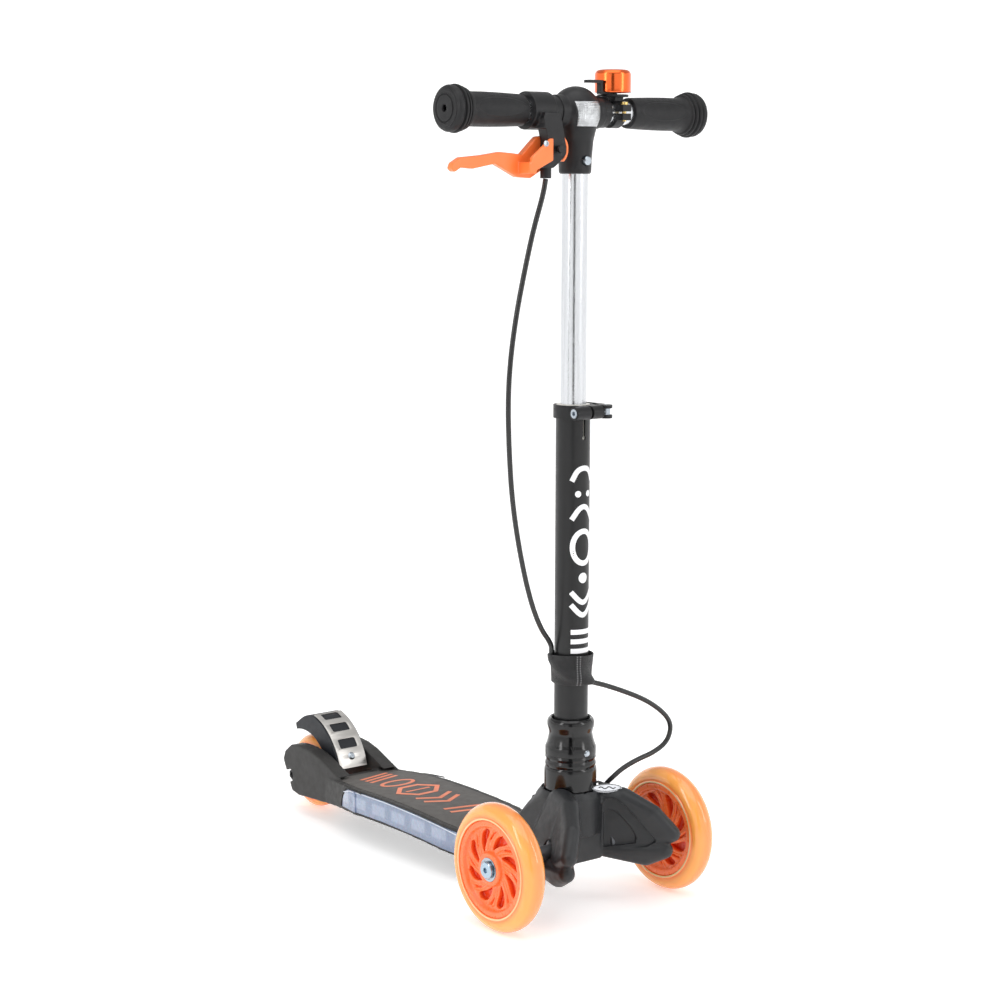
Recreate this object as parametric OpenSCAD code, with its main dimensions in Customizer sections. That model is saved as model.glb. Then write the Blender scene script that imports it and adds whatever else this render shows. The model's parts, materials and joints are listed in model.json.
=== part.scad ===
// Three-wheeled children's kick scooter with a handlebar of adjustable height.
// Frame: +Z up, -Y is the direction of travel, +X is the rider's left hand.
// The origin lies on the ground, at the middle of the scooter's footprint.

/* [Wheels] */
// Diameter of the two front wheels
front_wheel_d = 120; // [116:1:124]
// Diameter of the rear wheel
rear_wheel_d = 80; // [78:1:82]
// Width of every tyre
tyre_w = 24; // [22:1:25]
// Distance from the front axle to the rear axle
wheelbase = 450; // [446:1:456]
// Distance between the middles of the front tyres
track = 208; // [206:1:212]

/* [Stem] */
// Outer diameter of the black lower tube
lower_tube_d = 32; // [31.5:0.5:32.5]
// Outer diameter of the bright upper tube
upper_tube_d = 24; // [23.5:0.5:24.5]
// Height of the top of the lower tube
lower_tube_top = 466; // [440:1:470]
// Height of the handlebar's axis
bar_z = 745; // [740:1:750]
// Distance of the stem behind the front axle
stem_back = 22; // [21:1:23]

/* [Handlebar] */
// Overall width of the handlebar across the grip ends
bar_w = 300; // [296:2:304]
// Outer diameter of the handlebar tube, which the accessories clamp on
bar_d = 22; // [21.5:0.5:22]
// Diameter of the flange at the end of each grip
grip_flange_d = 41; // [38:1:44]

/* [Deck] */
// Width of the deck
deck_w = 100; // [98:1:102]
// Height of the middle of the deck's top
deck_top = 57; // [56:1:58]
// Thickness of the deck at its sides
deck_h = 27; // [26:1:28]

/* [Hidden] */
$fn = 64;
seam = 0.05;             // gap between faces that turn against each other

front_r = front_wheel_d / 2;
rear_r = rear_wheel_d / 2;
half_track = track / 2;
front_y = (front_r - rear_r - wheelbase) / 2;
rear_y = front_y + wheelbase;
stem_y = front_y + stem_back;

// Bearings are the 608 size
bearing_od = 22;
bearing_w = 7;
bearing_bore = 8.06;
axle_d = 8;
boss_len = 25;           // wheel boss, over both bearings
tyre_crown_r = 13;

// Steering pivot: leans forward at its top, and passes the foot of the stem
pivot_lean = 30;
pivot_z = 54;
stem_foot_z = 112;
pivot_y = stem_y + (stem_foot_z - pivot_z) * tan(pivot_lean);
pivot_d = 8;
knuckle_r = 13;
knuckle_h = 22;

// Stem levels
sleeve_top = 182;
sleeve_bottom = 112;
tube_foot_z = 84;
collar_z0 = 465.8;
collar_h = 12.4;
clamp_y = -22.5;         // bolt of the collar, ahead of the stem
cam_x = 20.6;
upper_tube_foot = 340;
t_bottom = 689;
tube_gap = 0.05;         // running clearance on a radius

// Rear brake
brake_pivot_a = 160;     // angle round the rear axle
brake_pivot_r = 59;
brake_y = rear_y + brake_pivot_r * cos(brake_pivot_a);
brake_z = rear_r + brake_pivot_r * sin(brake_pivot_a);
fork_gap = 22;           // half width of the slot between the fork arms
fork_half = 38;

// Brake lever
lever_x = -39;
lever_y = stem_y - 16;
lever_z = 711;

// Bell
bell_x = 45;
bell_pad_z = 14.5;

// ---------- placing helpers ----------

module at_stem() translate([0, stem_y, 0]) children();

module at_pivot() translate([0, pivot_y, pivot_z]) rotate([pivot_lean, 0, 0]) children();

// The children's +Z axis becomes +X
module along_x() rotate([0, 90, 0]) children();

// The children's +Z axis becomes -Y
module along_front() rotate([90, 0, 0]) children();

module both_sides() {
    children();
    mirror([1, 0, 0]) children();
}

module ring(r_out, r_in, h) {
    difference() {
        cylinder(r = r_out, h = h);
        translate([0, 0, -1]) cylinder(r = r_in, h = h + 2);
    }
}

// A polyhedron tube along a route
function unit(v) = v / norm(v);
function route_dir(p, i) =
    unit(p[min(i + 1, len(p) - 1)] - p[max(i - 1, 0)]);
// Cuts every corner of a route once, and keeps its two ends
function smooth_once(p) = concat(
    [p[0]],
    [for (i = [0 : len(p) - 2]) each [p[i] * 0.75 + p[i + 1] * 0.25, p[i] * 0.25 + p[i + 1] * 0.75]],
    [p[len(p) - 1]]
);
module tube(route, d, sides = 8) {
    n = len(route);
    points = [
        for (i = [0 : n - 1])
            let (t = route_dir(route, i), a = unit(cross(t, [0.31, 0.12, 0.94])), b = cross(t, a))
            for (k = [0 : sides - 1])
                route[i] + d / 2 * (a * cos(360 * k / sides) + b * sin(360 * k / sides))
    ];
    sidefaces = [
        for (i = [0 : n - 2]) for (k = [0 : sides - 1])
            let (q = (k + 1) % sides)
            each [
                [i * sides + k, (i + 1) * sides + q, (i + 1) * sides + k],
                [i * sides + k, i * sides + q, (i + 1) * sides + q]
            ]
    ];
    first = [for (k = [0 : sides - 1]) sides - 1 - k];
    last = [for (k = [0 : sides - 1]) (n - 1) * sides + k];
    polyhedron(points, concat(sidefaces, [first, last]));
}

// ---------- wheels ----------

module tyre(r_out, r_in) {
    along_x() rotate_extrude($fn = 96) intersection() {
        translate([r_out - tyre_crown_r, 0]) circle(r = tyre_crown_r);
        translate([r_in, -tyre_w / 2]) square([r_out - r_in, tyre_w]);
    }
}

// One leaf-shaped window of a hub, between two arcs
module hub_window(r_in, r_out, bend) {
    m = (r_in + r_out) / 2;
    rotate(bend) translate([m, 0]) intersection() {
        translate([0, -r_out * 0.35]) circle(r = r_out * 0.47);
        translate([0, r_out * 0.35]) circle(r = r_out * 0.47);
        square([r_out - r_in, r_out], center = true);
    }
}

module hub(r_rim, rim_t, windows) {
    seat = boss_len / 2 - bearing_w;
    color("orangered") along_x() difference() {
        union() {
            translate([0, 0, -tyre_w / 2 + 1]) ring(r_rim, r_rim - rim_t, tyre_w - 2);
            translate([0, 0, -boss_len / 2]) cylinder(r = 15.5, h = boss_len);
            difference() {
                translate([0, 0, -4.5]) cylinder(r = r_rim - 1, h = 9);
                for (i = [0 : windows - 1]) rotate(i * 360 / windows)
                    translate([0, 0, -6]) linear_extrude(12)
                        hub_window(16.5, r_rim - rim_t - 1, 6);
            }
        }
        for (s = [0, 1]) mirror([0, 0, s])
            translate([0, 0, seat]) cylinder(d = bearing_od, h = bearing_w + 1);
        translate([0, 0, -boss_len / 2 - 1]) cylinder(r = 9, h = boss_len + 2);
    }
}

// Two sealed bearings and the tube that keeps them apart
module bearing_pair() {
    color("silver") along_x() {
        for (s = [0, 1]) mirror([0, 0, s]) translate([0, 0, boss_len / 2 - bearing_w])
            rotate_extrude() difference() {
                translate([bearing_bore / 2, 0]) square([(bearing_od - bearing_bore) / 2, bearing_w]);
                translate([6, bearing_w - 0.5]) square([3.2, 1]);
            }
        translate([0, 0, -boss_len / 2 + bearing_w])
            ring(5.5, bearing_bore / 2, boss_len - 2 * bearing_w);
    }
}

module front_wheel_at(side) translate([side * half_track, front_y, front_r]) children();
module rear_wheel_at() translate([0, rear_y, rear_r]) children();

module front_hub(side) front_wheel_at(side) hub(front_r - 15, 5, 8);
module front_tyre(side) color("orange") front_wheel_at(side) tyre(front_r, front_r - 15);
module front_bearings(side) front_wheel_at(side) bearing_pair();

module rear_hub() rear_wheel_at() hub(rear_r - 12, 4, 6);
module rear_tyre() color("orange") rear_wheel_at() tyre(rear_r, rear_r - 12);
module rear_bearings() rear_wheel_at() bearing_pair();

// Shoulder bolt with a flat head and a hexagon socket
module front_axle_bolts() {
    head_x = half_track + boss_len / 2 + seam;
    color("lightsteelblue") both_sides() translate([0, front_y, front_r]) along_x()
        difference() {
            union() {
                translate([0, 0, 62]) cylinder(d = axle_d, h = head_x - 62);
                translate([0, 0, head_x]) cylinder(r = 8, h = 2.6);
                translate([0, 0, head_x + 2.6]) cylinder(r1 = 8, r2 = 7, h = 0.9);
            }
            translate([0, 0, head_x + 0.8]) cylinder(d = 5.8, h = 5, $fn = 6);
        }
}

module rear_axle() {
    color("lightsteelblue") translate([0, rear_y, rear_r]) along_x() {
        translate([0, 0, -30]) cylinder(d = axle_d, h = 60);
        difference() {
            translate([0, 0, 30]) cylinder(r = 6, h = 4);
            translate([0, 0, 31.5]) cylinder(d = 5.8, h = 5, $fn = 6);
        }
        difference() {
            translate([0, 0, -34]) cylinder(r = 6, h = 4, $fn = 6);
            translate([0, 0, -35]) cylinder(r = 3, h = 2);
        }
    }
}

module rear_spacers() {
    color("dimgray") both_sides() translate([0, rear_y, rear_r]) along_x()
        translate([0, 0, boss_len / 2 + seam]) ring(6, axle_d / 2, fork_gap - boss_len / 2 - seam);
}

// ---------- deck ----------

deck_arch_r = 1300;
deck_peak_y = front_y + 255;

// Height that the arch has lost at a distance from its peak
function arch_drop(y) = y * y / 2 / deck_arch_r;

module arch_slab(top, thick) {
    translate([-80, deck_peak_y, 0]) rotate([90, 0, 90]) linear_extrude(160) polygon(concat(
        [for (y = [-240 : 20 : 240]) [y, top - arch_drop(y)]],
        [for (y = [240 : -20 : -240]) [y, top - thick - arch_drop(y)]]
    ));
}

// Outline of the deck seen from above; inset draws it smaller all round
module deck_plan(inset = 0) {
    offset(r = -inset) offset(r = 12) offset(r = -12) polygon([
        [-31, front_y + 78], [31, front_y + 78], [deck_w / 2 - 6, front_y + 118],
        [deck_w / 2, front_y + 160], [deck_w / 2, front_y + 310], [fork_half + 4, front_y + 352],
        [fork_half, front_y + 380], [fork_half, front_y + 400], [-fork_half, front_y + 400],
        [-fork_half, front_y + 380], [-fork_half - 4, front_y + 352],
        [-deck_w / 2, front_y + 310], [-deck_w / 2, front_y + 160], [-deck_w / 2 + 6, front_y + 118]
    ]);
}

// Side view of one arm of the rear fork
module fork_side() {
    offset(r = 5) offset(r = -5) polygon([
        [front_y + 345, 28], [front_y + 372, 25], [front_y + 432, 21.5], [front_y + 445, 24],
        [front_y + 462, 56], [front_y + 458, 66], [front_y + 446, 75], [front_y + 432, 77],
        [front_y + 408, 75.5], [front_y + 390, 71], [front_y + 370, 63], [front_y + 345, 53]
    ]);
}

// The opening in each long side that the lens strip fills
module lens_slot(grow = 0) {
    along_x() translate([0, 0, deck_w / 2 - 4]) linear_extrude(8) offset(delta = grow) polygon([
        [-26, front_y + 118], [-48, front_y + 118], [-50, front_y + 137], [-52.2, front_y + 164],
        [-54.2, front_y + 200], [-55.2, front_y + 231], [-55.6, front_y + 255],
        [-55, front_y + 295], [-54, front_y + 318], [-51, front_y + 330], [-44, front_y + 337],
        [-31, front_y + 340], [-32.4, front_y + 315], [-33, front_y + 255],
        [-31.6, front_y + 200], [-29.4, front_y + 160]
    ]);
}

module deck_board() {
    color([0.22, 0.22, 0.22]) difference() {
        union() {
            intersection() {
                arch_slab(deck_top + 0.6, deck_h);
                translate([0, 0, -5]) linear_extrude(90) deck_plan();
            }
            both_sides() translate([fork_gap, 0, 0]) rotate([90, 0, 90])
                linear_extrude(fork_half - fork_gap) fork_side();
        }
        // recess for the grip pad
        intersection() {
            arch_slab(deck_top + 4, 4.6);
            translate([0, 0, 30]) linear_extrude(60) deck_plan(6);
            translate([-80, front_y + 98, 30]) cube([160, 268, 60]);
        }
        // hollow underside
        intersection() {
            arch_slab(deck_top - 4, 60);
            translate([0, 0, -20]) linear_extrude(90) deck_plan(8);
            translate([-80, front_y + 98, -10]) cube([160, 262, 90]);
        }
        both_sides() lens_slot();
        // windows for the light bars, and the seat of the head's tongue
        both_sides() translate([38, front_y + 160, 35]) cube([9, 150, 16]);
        translate([-18.2, front_y + 70, 10]) cube([36.4, 40, 31]);
        translate([-18.2, front_y + 70, 10]) cube([36.4, 11.9, 60]);
        // slot for the rear wheel and the brake
        translate([-fork_gap, front_y + 377, 0]) cube([2 * fork_gap, 120, 120]);
        // rear axle and brake pivot
        translate([-60, rear_y, rear_r]) along_x() cylinder(d = axle_d, h = 120);
        both_sides() translate([30, rear_y, rear_r]) along_x() cylinder(r = 7, h = 20);
        translate([-30, brake_y, brake_z]) along_x() cylinder(d = 5, h = 60);
        // seats of the two screws into the head
        for (s = [-1, 1]) translate([s * 12, front_y + 88, 20]) cylinder(d = 4.2, h = 24.5);
    }
}

module deck_grip_pad() {
    color("dimgray") intersection() {
        arch_slab(deck_top + 0.8, 1.4);
        translate([0, 0, 30]) linear_extrude(60) deck_plan(6.2);
        translate([-80, front_y + 98.2, 30]) cube([160, 267.6, 60]);
    }
}

module deck_lens(side) {
    color([0.62, 0.68, 0.76]) mirror([side < 0 ? 1 : 0, 0, 0]) intersection() {
        lens_slot(-0.2);
        translate([deck_w / 2 - 3.8, front_y + 100, 20]) cube([3.7, 260, 60]);
        translate([0, 0, -5]) linear_extrude(90) deck_plan();
    }
}

// Printed light bars behind the lenses
module deck_light_bars() {
    color("whitesmoke") both_sides() {
        translate([43, front_y + 160, 35]) cube([2, 150, 16]);
        for (i = [0 : 3]) translate([45, front_y + 175 + i * 38, 40]) cube([0.9, 6, 6]);
    }
}

module battery_box() {
    color([0.3, 0.3, 0.3]) difference() {
        intersection() {
            translate([-24, front_y + 190, 34]) cube([48, 66, 30]);
            arch_slab(deck_top - 4, 60);
        }
        translate([-22, front_y + 192, 33]) cube([44, 62, 16]);
    }
}

module battery_door() {
    color([0.2, 0.2, 0.2]) translate([-28, front_y + 186, 31.6]) difference() {
        cube([56, 74, 2.4]);
        translate([-1, 8, -1]) cube([58, 1.2, 1.6]);
        translate([-1, 64, -1]) cube([58, 1.2, 1.6]);
    }
}

module deck_screws() {
    color("silver") for (s = [-1, 1]) translate([s * 12, front_y + 88, 0]) {
        translate([0, 0, 24]) cylinder(d = 4.2, h = 20);
        difference() {
            translate([0, 0, 21.5]) cylinder(d = 8, h = 2.5);
            translate([0, 0, 20.5]) cylinder(d = 3.4, h = 2.2, $fn = 6);
        }
    }
}

// ---------- head and steering ----------

module head_core() {
    color([0.1, 0.1, 0.1]) difference() {
        union() {
            at_stem() translate([0, 0, 80]) cylinder(r = 21, h = sleeve_bottom - 80);
            // web behind the post, down to the deck
            translate([-15, stem_y + 8, 80]) cube([30, 50, 20]);
            translate([-15, pivot_y - 10, 56]) cube([30, 36, 34]);
            translate([-15, pivot_y + 1, 33]) cube([30, 25, 30]);
            at_pivot() translate([0, 0, knuckle_h / 2 + 3]) cylinder(r = 11, h = 20);
            // tongue under the deck
            translate([-18, pivot_y + 18, 24]) cube([36, front_y + 106 - pivot_y - 18, 17]);
        }
        // socket of the lower tube
        at_stem() translate([0, 0, tube_foot_z]) cylinder(d = lower_tube_d, h = 60);
        // room for the knuckle of the axle carrier as it turns
        at_pivot() translate([0, 0, -knuckle_h / 2 - 3]) cylinder(r = knuckle_r + 5, h = knuckle_h + 6);
        at_pivot() translate([0, 0, -60]) cylinder(d = pivot_d, h = 82);
        for (s = [-1, 1]) translate([s * 12, front_y + 88, 20]) cylinder(d = 4.2, h = 29);
    }
}

module kingpin() {
    color("silver") at_pivot() {
        translate([0, 0, -26]) cylinder(d = pivot_d, h = 48);
    }
}

module steering_bushes() {
    color("darkorange") at_pivot() for (s = [0, 1]) mirror([0, 0, s])
        translate([0, 0, knuckle_h / 2 + seam]) ring(9, pivot_d / 2, 3 - seam);
}

module axle_carrier() {
    color("gray") difference() {
        union() {
            both_sides() translate([0, front_y, front_r]) along_x() {
                translate([0, 0, 26]) cylinder(r = 10, h = 54);
                translate([0, 0, 78]) cylinder(r = 6.5, h = half_track - boss_len / 2 - seam - 78);
            }
            translate([-29, front_y + 1, front_r - 9]) cube([58, 18, 18]);
            at_pivot() translate([0, 0, -knuckle_h / 2]) cylinder(r = knuckle_r, h = knuckle_h);
            hull() {
                translate([-9, front_y + 10, front_r - 8]) cube([18, 4, 16]);
                translate([-8, pivot_y - 14, pivot_z - 10]) cube([16, 4, 12]);
            }
        }
        at_pivot() translate([0, 0, -30]) cylinder(d = pivot_d + 2 * tube_gap, h = 60);
        both_sides() translate([60, front_y, front_r]) along_x() cylinder(d = axle_d, h = 60);
    }
}

// The horned cover: one cheek sweeps out, forwards and down on each side
module cheek_ball(x, y, z, r) {
    translate([x, front_y + y, z]) sphere(r = r, $fn = 20);
}

module cheek(shrink) {
    hull() {
        cheek_ball(21, 10, 106, 13 - shrink);
        cheek_ball(33, -16, 106, 9.5 - shrink);
        cheek_ball(26, 28, 70, 12 - shrink);
        cheek_ball(28, 4, 66, 12 - shrink);
    }
    hull() {
        cheek_ball(33, -16, 106, 9.5 - shrink);
        cheek_ball(50, -40, 93, 8 - shrink);
        cheek_ball(64, -51.5, 73, 8 - shrink);
        cheek_ball(54, -28, 60, 8 - shrink);
        cheek_ball(28, 4, 66, 12 - shrink);
    }
}

module shell_solid(shrink) {
    hull() {
        translate([0, stem_y, 60]) cylinder(r = 31 - shrink, h = 48, $fn = 48);
        translate([0, stem_y, 60]) cylinder(r = 25 - shrink, h = 58 - shrink, $fn = 48);
        translate([-16 + shrink, front_y - 4 + shrink, 60]) cube([32 - 2 * shrink, 30, 48 - shrink]);
        translate([-30 + shrink, front_y + 30, 60]) cube([60 - 2 * shrink, 32 - shrink, 24]);
    }
    both_sides() cheek(shrink);
}

// Flat oval of the badge; it leans forwards on the left shoulder
module badge_oval(grow, depth) {
    translate([22, front_y - 9, 114]) rotate([0, 0, -32]) rotate([45, 0, 0])
        translate([0, 0, -depth]) linear_extrude(depth + 1.2) scale([1, 0.3]) circle(r = 14.5 + grow);
}

module front_shell() {
    color([0.16, 0.16, 0.16]) difference() {
        shell_solid(0);
        shell_solid(3);
        at_stem() translate([0, 0, 90]) cylinder(r = 26.5, h = 60);
        // open below, and open at the back where the head leaves
        translate([-100, front_y - 90, 0]) cube([200, 200, 62]);
        translate([-24, stem_y + 20, 50]) cube([48, 80, 56]);
        translate([-30, front_y + 0.5, 50]) cube([60, 45, 21]);
        // the axle leaves through each cheek
        translate([-100, front_y, front_r]) along_x() cylinder(r = 14, h = 200);
        // way for the cable, long enough for the shell to turn
        for (y = [-10, 4.5]) translate([33, stem_y - 7 + y, 90]) cylinder(r = 7, h = 60);
        translate([26, stem_y - 17, 90]) cube([14, 14.5, 60]);
        badge_oval(0.2, 0);
    }
}

module front_base() {
    color([0.12, 0.12, 0.12]) difference() {
        union() {
            both_sides() hull() {
                cheek_ball(54, -26, 48.5, 10.5);
                cheek_ball(61, -45, 56, 8);
                cheek_ball(22, 1, 52, 5.5);
                cheek_ball(46, 14, 50, 9);
            }
            translate([-18, front_y - 4, 46.5]) cube([36, 4.5, 15.5]);
        }
        translate([-100, front_y - 90, 62]) cube([200, 200, 62]);
        translate([-100, front_y, front_r]) along_x() {
            cylinder(r = 10, h = 74);
            translate([0, 0, 126]) cylinder(r = 10, h = 74);
        }
        translate([-29, front_y + 1, 51]) cube([58, 60, 62]);
    }
}

module shell_badge() {
    color("whitesmoke") badge_oval(0, 0);
}

// ---------- stem ----------

module sleeve() {
    color([0.07, 0.07, 0.08]) at_stem() difference() {
        rotate_extrude() polygon([
            [lower_tube_d / 2, sleeve_bottom], [25, sleeve_bottom], [25, 131], [24.6, 134],
            [23.6, 135.5], [24.4, 138], [23.6, 141], [23.3, 142], [24.3, 144.5], [23.6, 146.6],
            [24.2, 147], [24.2, 154.2], [22.6, 158], [21.3, 163], [20.5, 167.5], [21.4, 171],
            [22.4, 174.5], [22.4, 178], [21.4, 180.6], [19.8, sleeve_top],
            [18.4, 181.4], [17.6, 178], [lower_tube_d / 2, 170]
        ]);
        translate([0, -10, 150.5]) along_front() cylinder(d = 6.7, h = 30);
    }
}

module sleeve_button() {
    color("silver") at_stem() translate([0, -11, 150.5]) along_front() {
        cylinder(d = 6.6, h = 13);
        translate([0, 0, 13]) cylinder(r1 = 3.3, r2 = 2, h = 1.2);
    }
}

module lower_tube() {
    color([0.12, 0.12, 0.12]) at_stem() difference() {
        translate([0, 0, tube_foot_z]) ring(lower_tube_d / 2, lower_tube_d / 2 - 2,
            lower_tube_top - tube_foot_z + 10);
        // slot and relief hole that let the top of the tube close
        translate([-1.2, -20, 448]) cube([2.4, 20, 40]);
        translate([0, 0, 448]) along_front() cylinder(d = 4, h = 20);
        translate([0, 0, 150.5]) along_front() cylinder(d = 6.7, h = 20);
    }
}

module stem_bush() {
    color("whitesmoke") at_stem() translate([0, 0, 431]) difference() {
        union() {
            cylinder(r = lower_tube_d / 2 - 2, h = 45);
            translate([0, 0, 45]) cylinder(r = 15.6, h = 2.6);
        }
        translate([0, 0, -1]) cylinder(r = upper_tube_d / 2 + tube_gap, h = 60);
        translate([-1.2, -20, 17]) cube([2.4, 20, 40]);
    }
}

module height_collar() {
    color([0.09, 0.09, 0.09]) at_stem() translate([0, 0, collar_z0]) difference() {
        union() {
            cylinder(r = 18.5, h = collar_h);
            translate([-18, clamp_y, collar_h / 2]) along_x() cylinder(r = collar_h / 2, h = 32);
            translate([-10, clamp_y, 0]) cube([24, 12.5, collar_h]);
        }
        translate([0, 0, -1]) cylinder(d = lower_tube_d, h = collar_h + 2);
        translate([-1.2, -40, -1]) cube([2.4, 36, collar_h + 2]);
        translate([-30, clamp_y, collar_h / 2]) along_x() cylinder(d = 5, h = 60);
        translate([-30, clamp_y, collar_h / 2]) along_x() cylinder(d = 9, h = 15.5);
    }
}

module collar_bolt() {
    color("silver") at_stem() translate([0, clamp_y, collar_z0]) {
        translate([0, 0, collar_h / 2]) along_x() {
            translate([0, 0, -14.5]) cylinder(d = 5, h = cam_x + 14.5);
            difference() {
                translate([0, 0, -18.5]) cylinder(d = 8.6, h = 4);
                translate([0, 0, -19.5]) cylinder(d = 4.6, h = 3.5, $fn = 6);
            }
        }
        // eye and upright pin that the quick lever turns on
        translate([cam_x, 0, collar_h / 2 - 2.8]) cylinder(r = 4, h = 5.6);
        translate([cam_x, 0, 0]) cylinder(d = 4, h = collar_h);
    }
}

// Quick lever: a forked cam on the end of the bolt, with an arm along the collar
module collar_lever() {
    color([0.08, 0.08, 0.08]) at_stem() translate([0, 0, collar_z0]) difference() {
        linear_extrude(collar_h) difference() {
            union() {
                hull() {
                    translate([cam_x, clamp_y]) circle(r = 6);
                    translate([24, -8]) circle(r = 2.4);
                }
                hull() {
                    translate([24, -8]) circle(r = 2.4);
                    translate([23.4, 10]) circle(r = 2.2);
                }
            }
            circle(r = 19);
        }
        // fork round the eye of the bolt, and the bore for its pin
        translate([12, -30, 3.2]) cube([18, 15, collar_h - 6.4]);
        translate([cam_x, clamp_y, -1]) cylinder(d = 4 + 2 * tube_gap, h = collar_h + 2);
    }
}

module cable_strap() {
    held = smooth_once(concat(strap_route, lower_route));
    color([0.05, 0.05, 0.05]) difference() {
        at_stem() translate([0, 0, 216]) cylinder(r1 = 18.2, r2 = 20.9, h = 27.5);
        at_stem() translate([0, 0, 210]) cylinder(d = lower_tube_d + 0.14, h = 40);
        // channel that the cable lies in
        for (i = [0 : 9]) hull() {
            translate(held[i]) sphere(d = cable_d + 0.7, $fn = 12);
            translate(held[i + 1]) sphere(d = cable_d + 0.7, $fn = 12);
        }
    }
}

module upper_tube() {
    color("silver") at_stem() difference() {
        translate([0, 0, upper_tube_foot])
            ring(upper_tube_d / 2, upper_tube_d / 2 - 1.6, t_bottom + 36 - upper_tube_foot);
        translate([0, 0, t_bottom + 12]) along_front() cylinder(d = 8.1, h = 20);
    }
}

module tube_foot() {
    color([0.2, 0.2, 0.2]) at_stem() translate([0, 0, upper_tube_foot - 4]) {
        cylinder(d = lower_tube_d - 4 - 2 * tube_gap, h = 4);
        cylinder(r = upper_tube_d / 2 - 1.6, h = 22);
    }
}

// ---------- handlebar ----------

module t_housing() {
    color([0.11, 0.11, 0.11]) at_stem() difference() {
        union() {
            translate([0, 0, bar_z]) sphere(r = 23, $fn = 64);
            translate([0, 0, bar_z]) along_x() translate([0, 0, -26]) cylinder(r = 15, h = 52);
            rotate_extrude() polygon([
                [0, t_bottom], [13.5, t_bottom], [14.8, t_bottom + 1.5], [15, t_bottom + 5],
                [15.3, t_bottom + 14], [15.9, t_bottom + 22], [16.6, t_bottom + 30],
                [18.5, t_bottom + 38], [20, t_bottom + 44], [0, t_bottom + 50]
            ]);
        }
        translate([0, 0, t_bottom - 1]) cylinder(d = upper_tube_d, h = 37);
        translate([0, 0, bar_z]) along_x() translate([0, 0, -40]) cylinder(d = bar_d, h = 80);
        // seat of the lamp
        lamp_seat(0);
        translate([0, 0, t_bottom + 12]) along_front() cylinder(d = 8.1, h = 30);
    }
}

module lamp_seat(inset) {
    translate([0, -13.5, bar_z - 2]) along_front() linear_extrude(12) offset(delta = -inset)
        polygon([[-14.5, 11], [14.5, 11], [11.5, -11.5], [-11.5, -11.5]]);
}

module headlight_lens() {
    color([0.8, 0.82, 0.85]) at_stem() intersection() {
        lamp_seat(0.1);
        translate([0, 0, bar_z - 1]) sphere(r = 23.6, $fn = 64);
        translate([-20, -24.5, bar_z - 20]) cube([40, 11, 40]);
    }
}

module t_button() {
    color("silver") at_stem() translate([0, -8, t_bottom + 12]) along_front() {
        cylinder(d = 8, h = 10);
        translate([0, 0, 10]) cylinder(r1 = 4, r2 = 3.2, h = 0.7);
    }
}

module bar_tube() {
    color("silver") at_stem() translate([-bar_w / 2 + 3, 0, bar_z]) along_x()
        ring(bar_d / 2, bar_d / 2 - 1.5, bar_w - 6);
}

module bar_collars() {
    color([0.1, 0.1, 0.1]) at_stem() translate([0, 0, bar_z]) {
        translate([-33, 0, 0]) along_x() ring(14, bar_d / 2, 7);
        translate([26, 0, 0]) along_x() ring(14, bar_d / 2, 7);
    }
}

module grip(inner) {
    end = bar_w / 2;
    flange_r = grip_flange_d / 2;
    color([0.1, 0.1, 0.1]) at_stem() translate([0, 0, bar_z]) along_x() rotate_extrude()
        polygon([
            [bar_d / 2, inner], [13.6, inner], [14.2, inner + 3], [14.8, (inner + 128) / 2 - 15],
            [15.4, (inner + 128) / 2 + 5], [15.2, 122], [16, 128], [17.5, 130], [19, 131.5],
            [19, 134], [18.2, 135], [20, 136.5], [20, 139], [19, 140], [flange_r, 141.5],
            [flange_r, 145], [flange_r - 1.5, 147.5], [16, end - 0.6], [10, end], [3, end],
            [3, end - 3], [bar_d / 2, end - 3]
        ]);
}

module grip_right() mirror([1, 0, 0]) grip(64);
module grip_left() grip(62);

module lever_bracket() {
    color([0.1, 0.1, 0.1]) difference() {
        union() {
            translate([-60, stem_y, bar_z]) along_x() cylinder(r = 17, h = 25);
            // arm down to the pivot
            translate([0, lever_y + 6, 0]) along_front() linear_extrude(12)
                offset(r = 3) offset(r = -3) polygon([
                    [-56, bar_z - 4], [-36, bar_z - 2], [-29, lever_z + 3], [-29, lever_z - 5],
                    [-38, lever_z - 13], [-44, lever_z - 17], [-56, lever_z - 17],
                    [-56, lever_z - 10], [-49, lever_z - 4], [-50, lever_z + 8]
                ]);
            translate([-54, lever_y - 6, bar_z - 16]) cube([17, 18, 14]);
        }
        translate([-70, stem_y, bar_z]) along_x() cylinder(d = bar_d, h = 50);
        translate([lever_x, lever_y + 20, lever_z]) along_front() cylinder(d = 5, h = 40);
        translate([-48, lever_y, lever_z - 30]) cylinder(d = 6, h = 26);
    }
}

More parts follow.
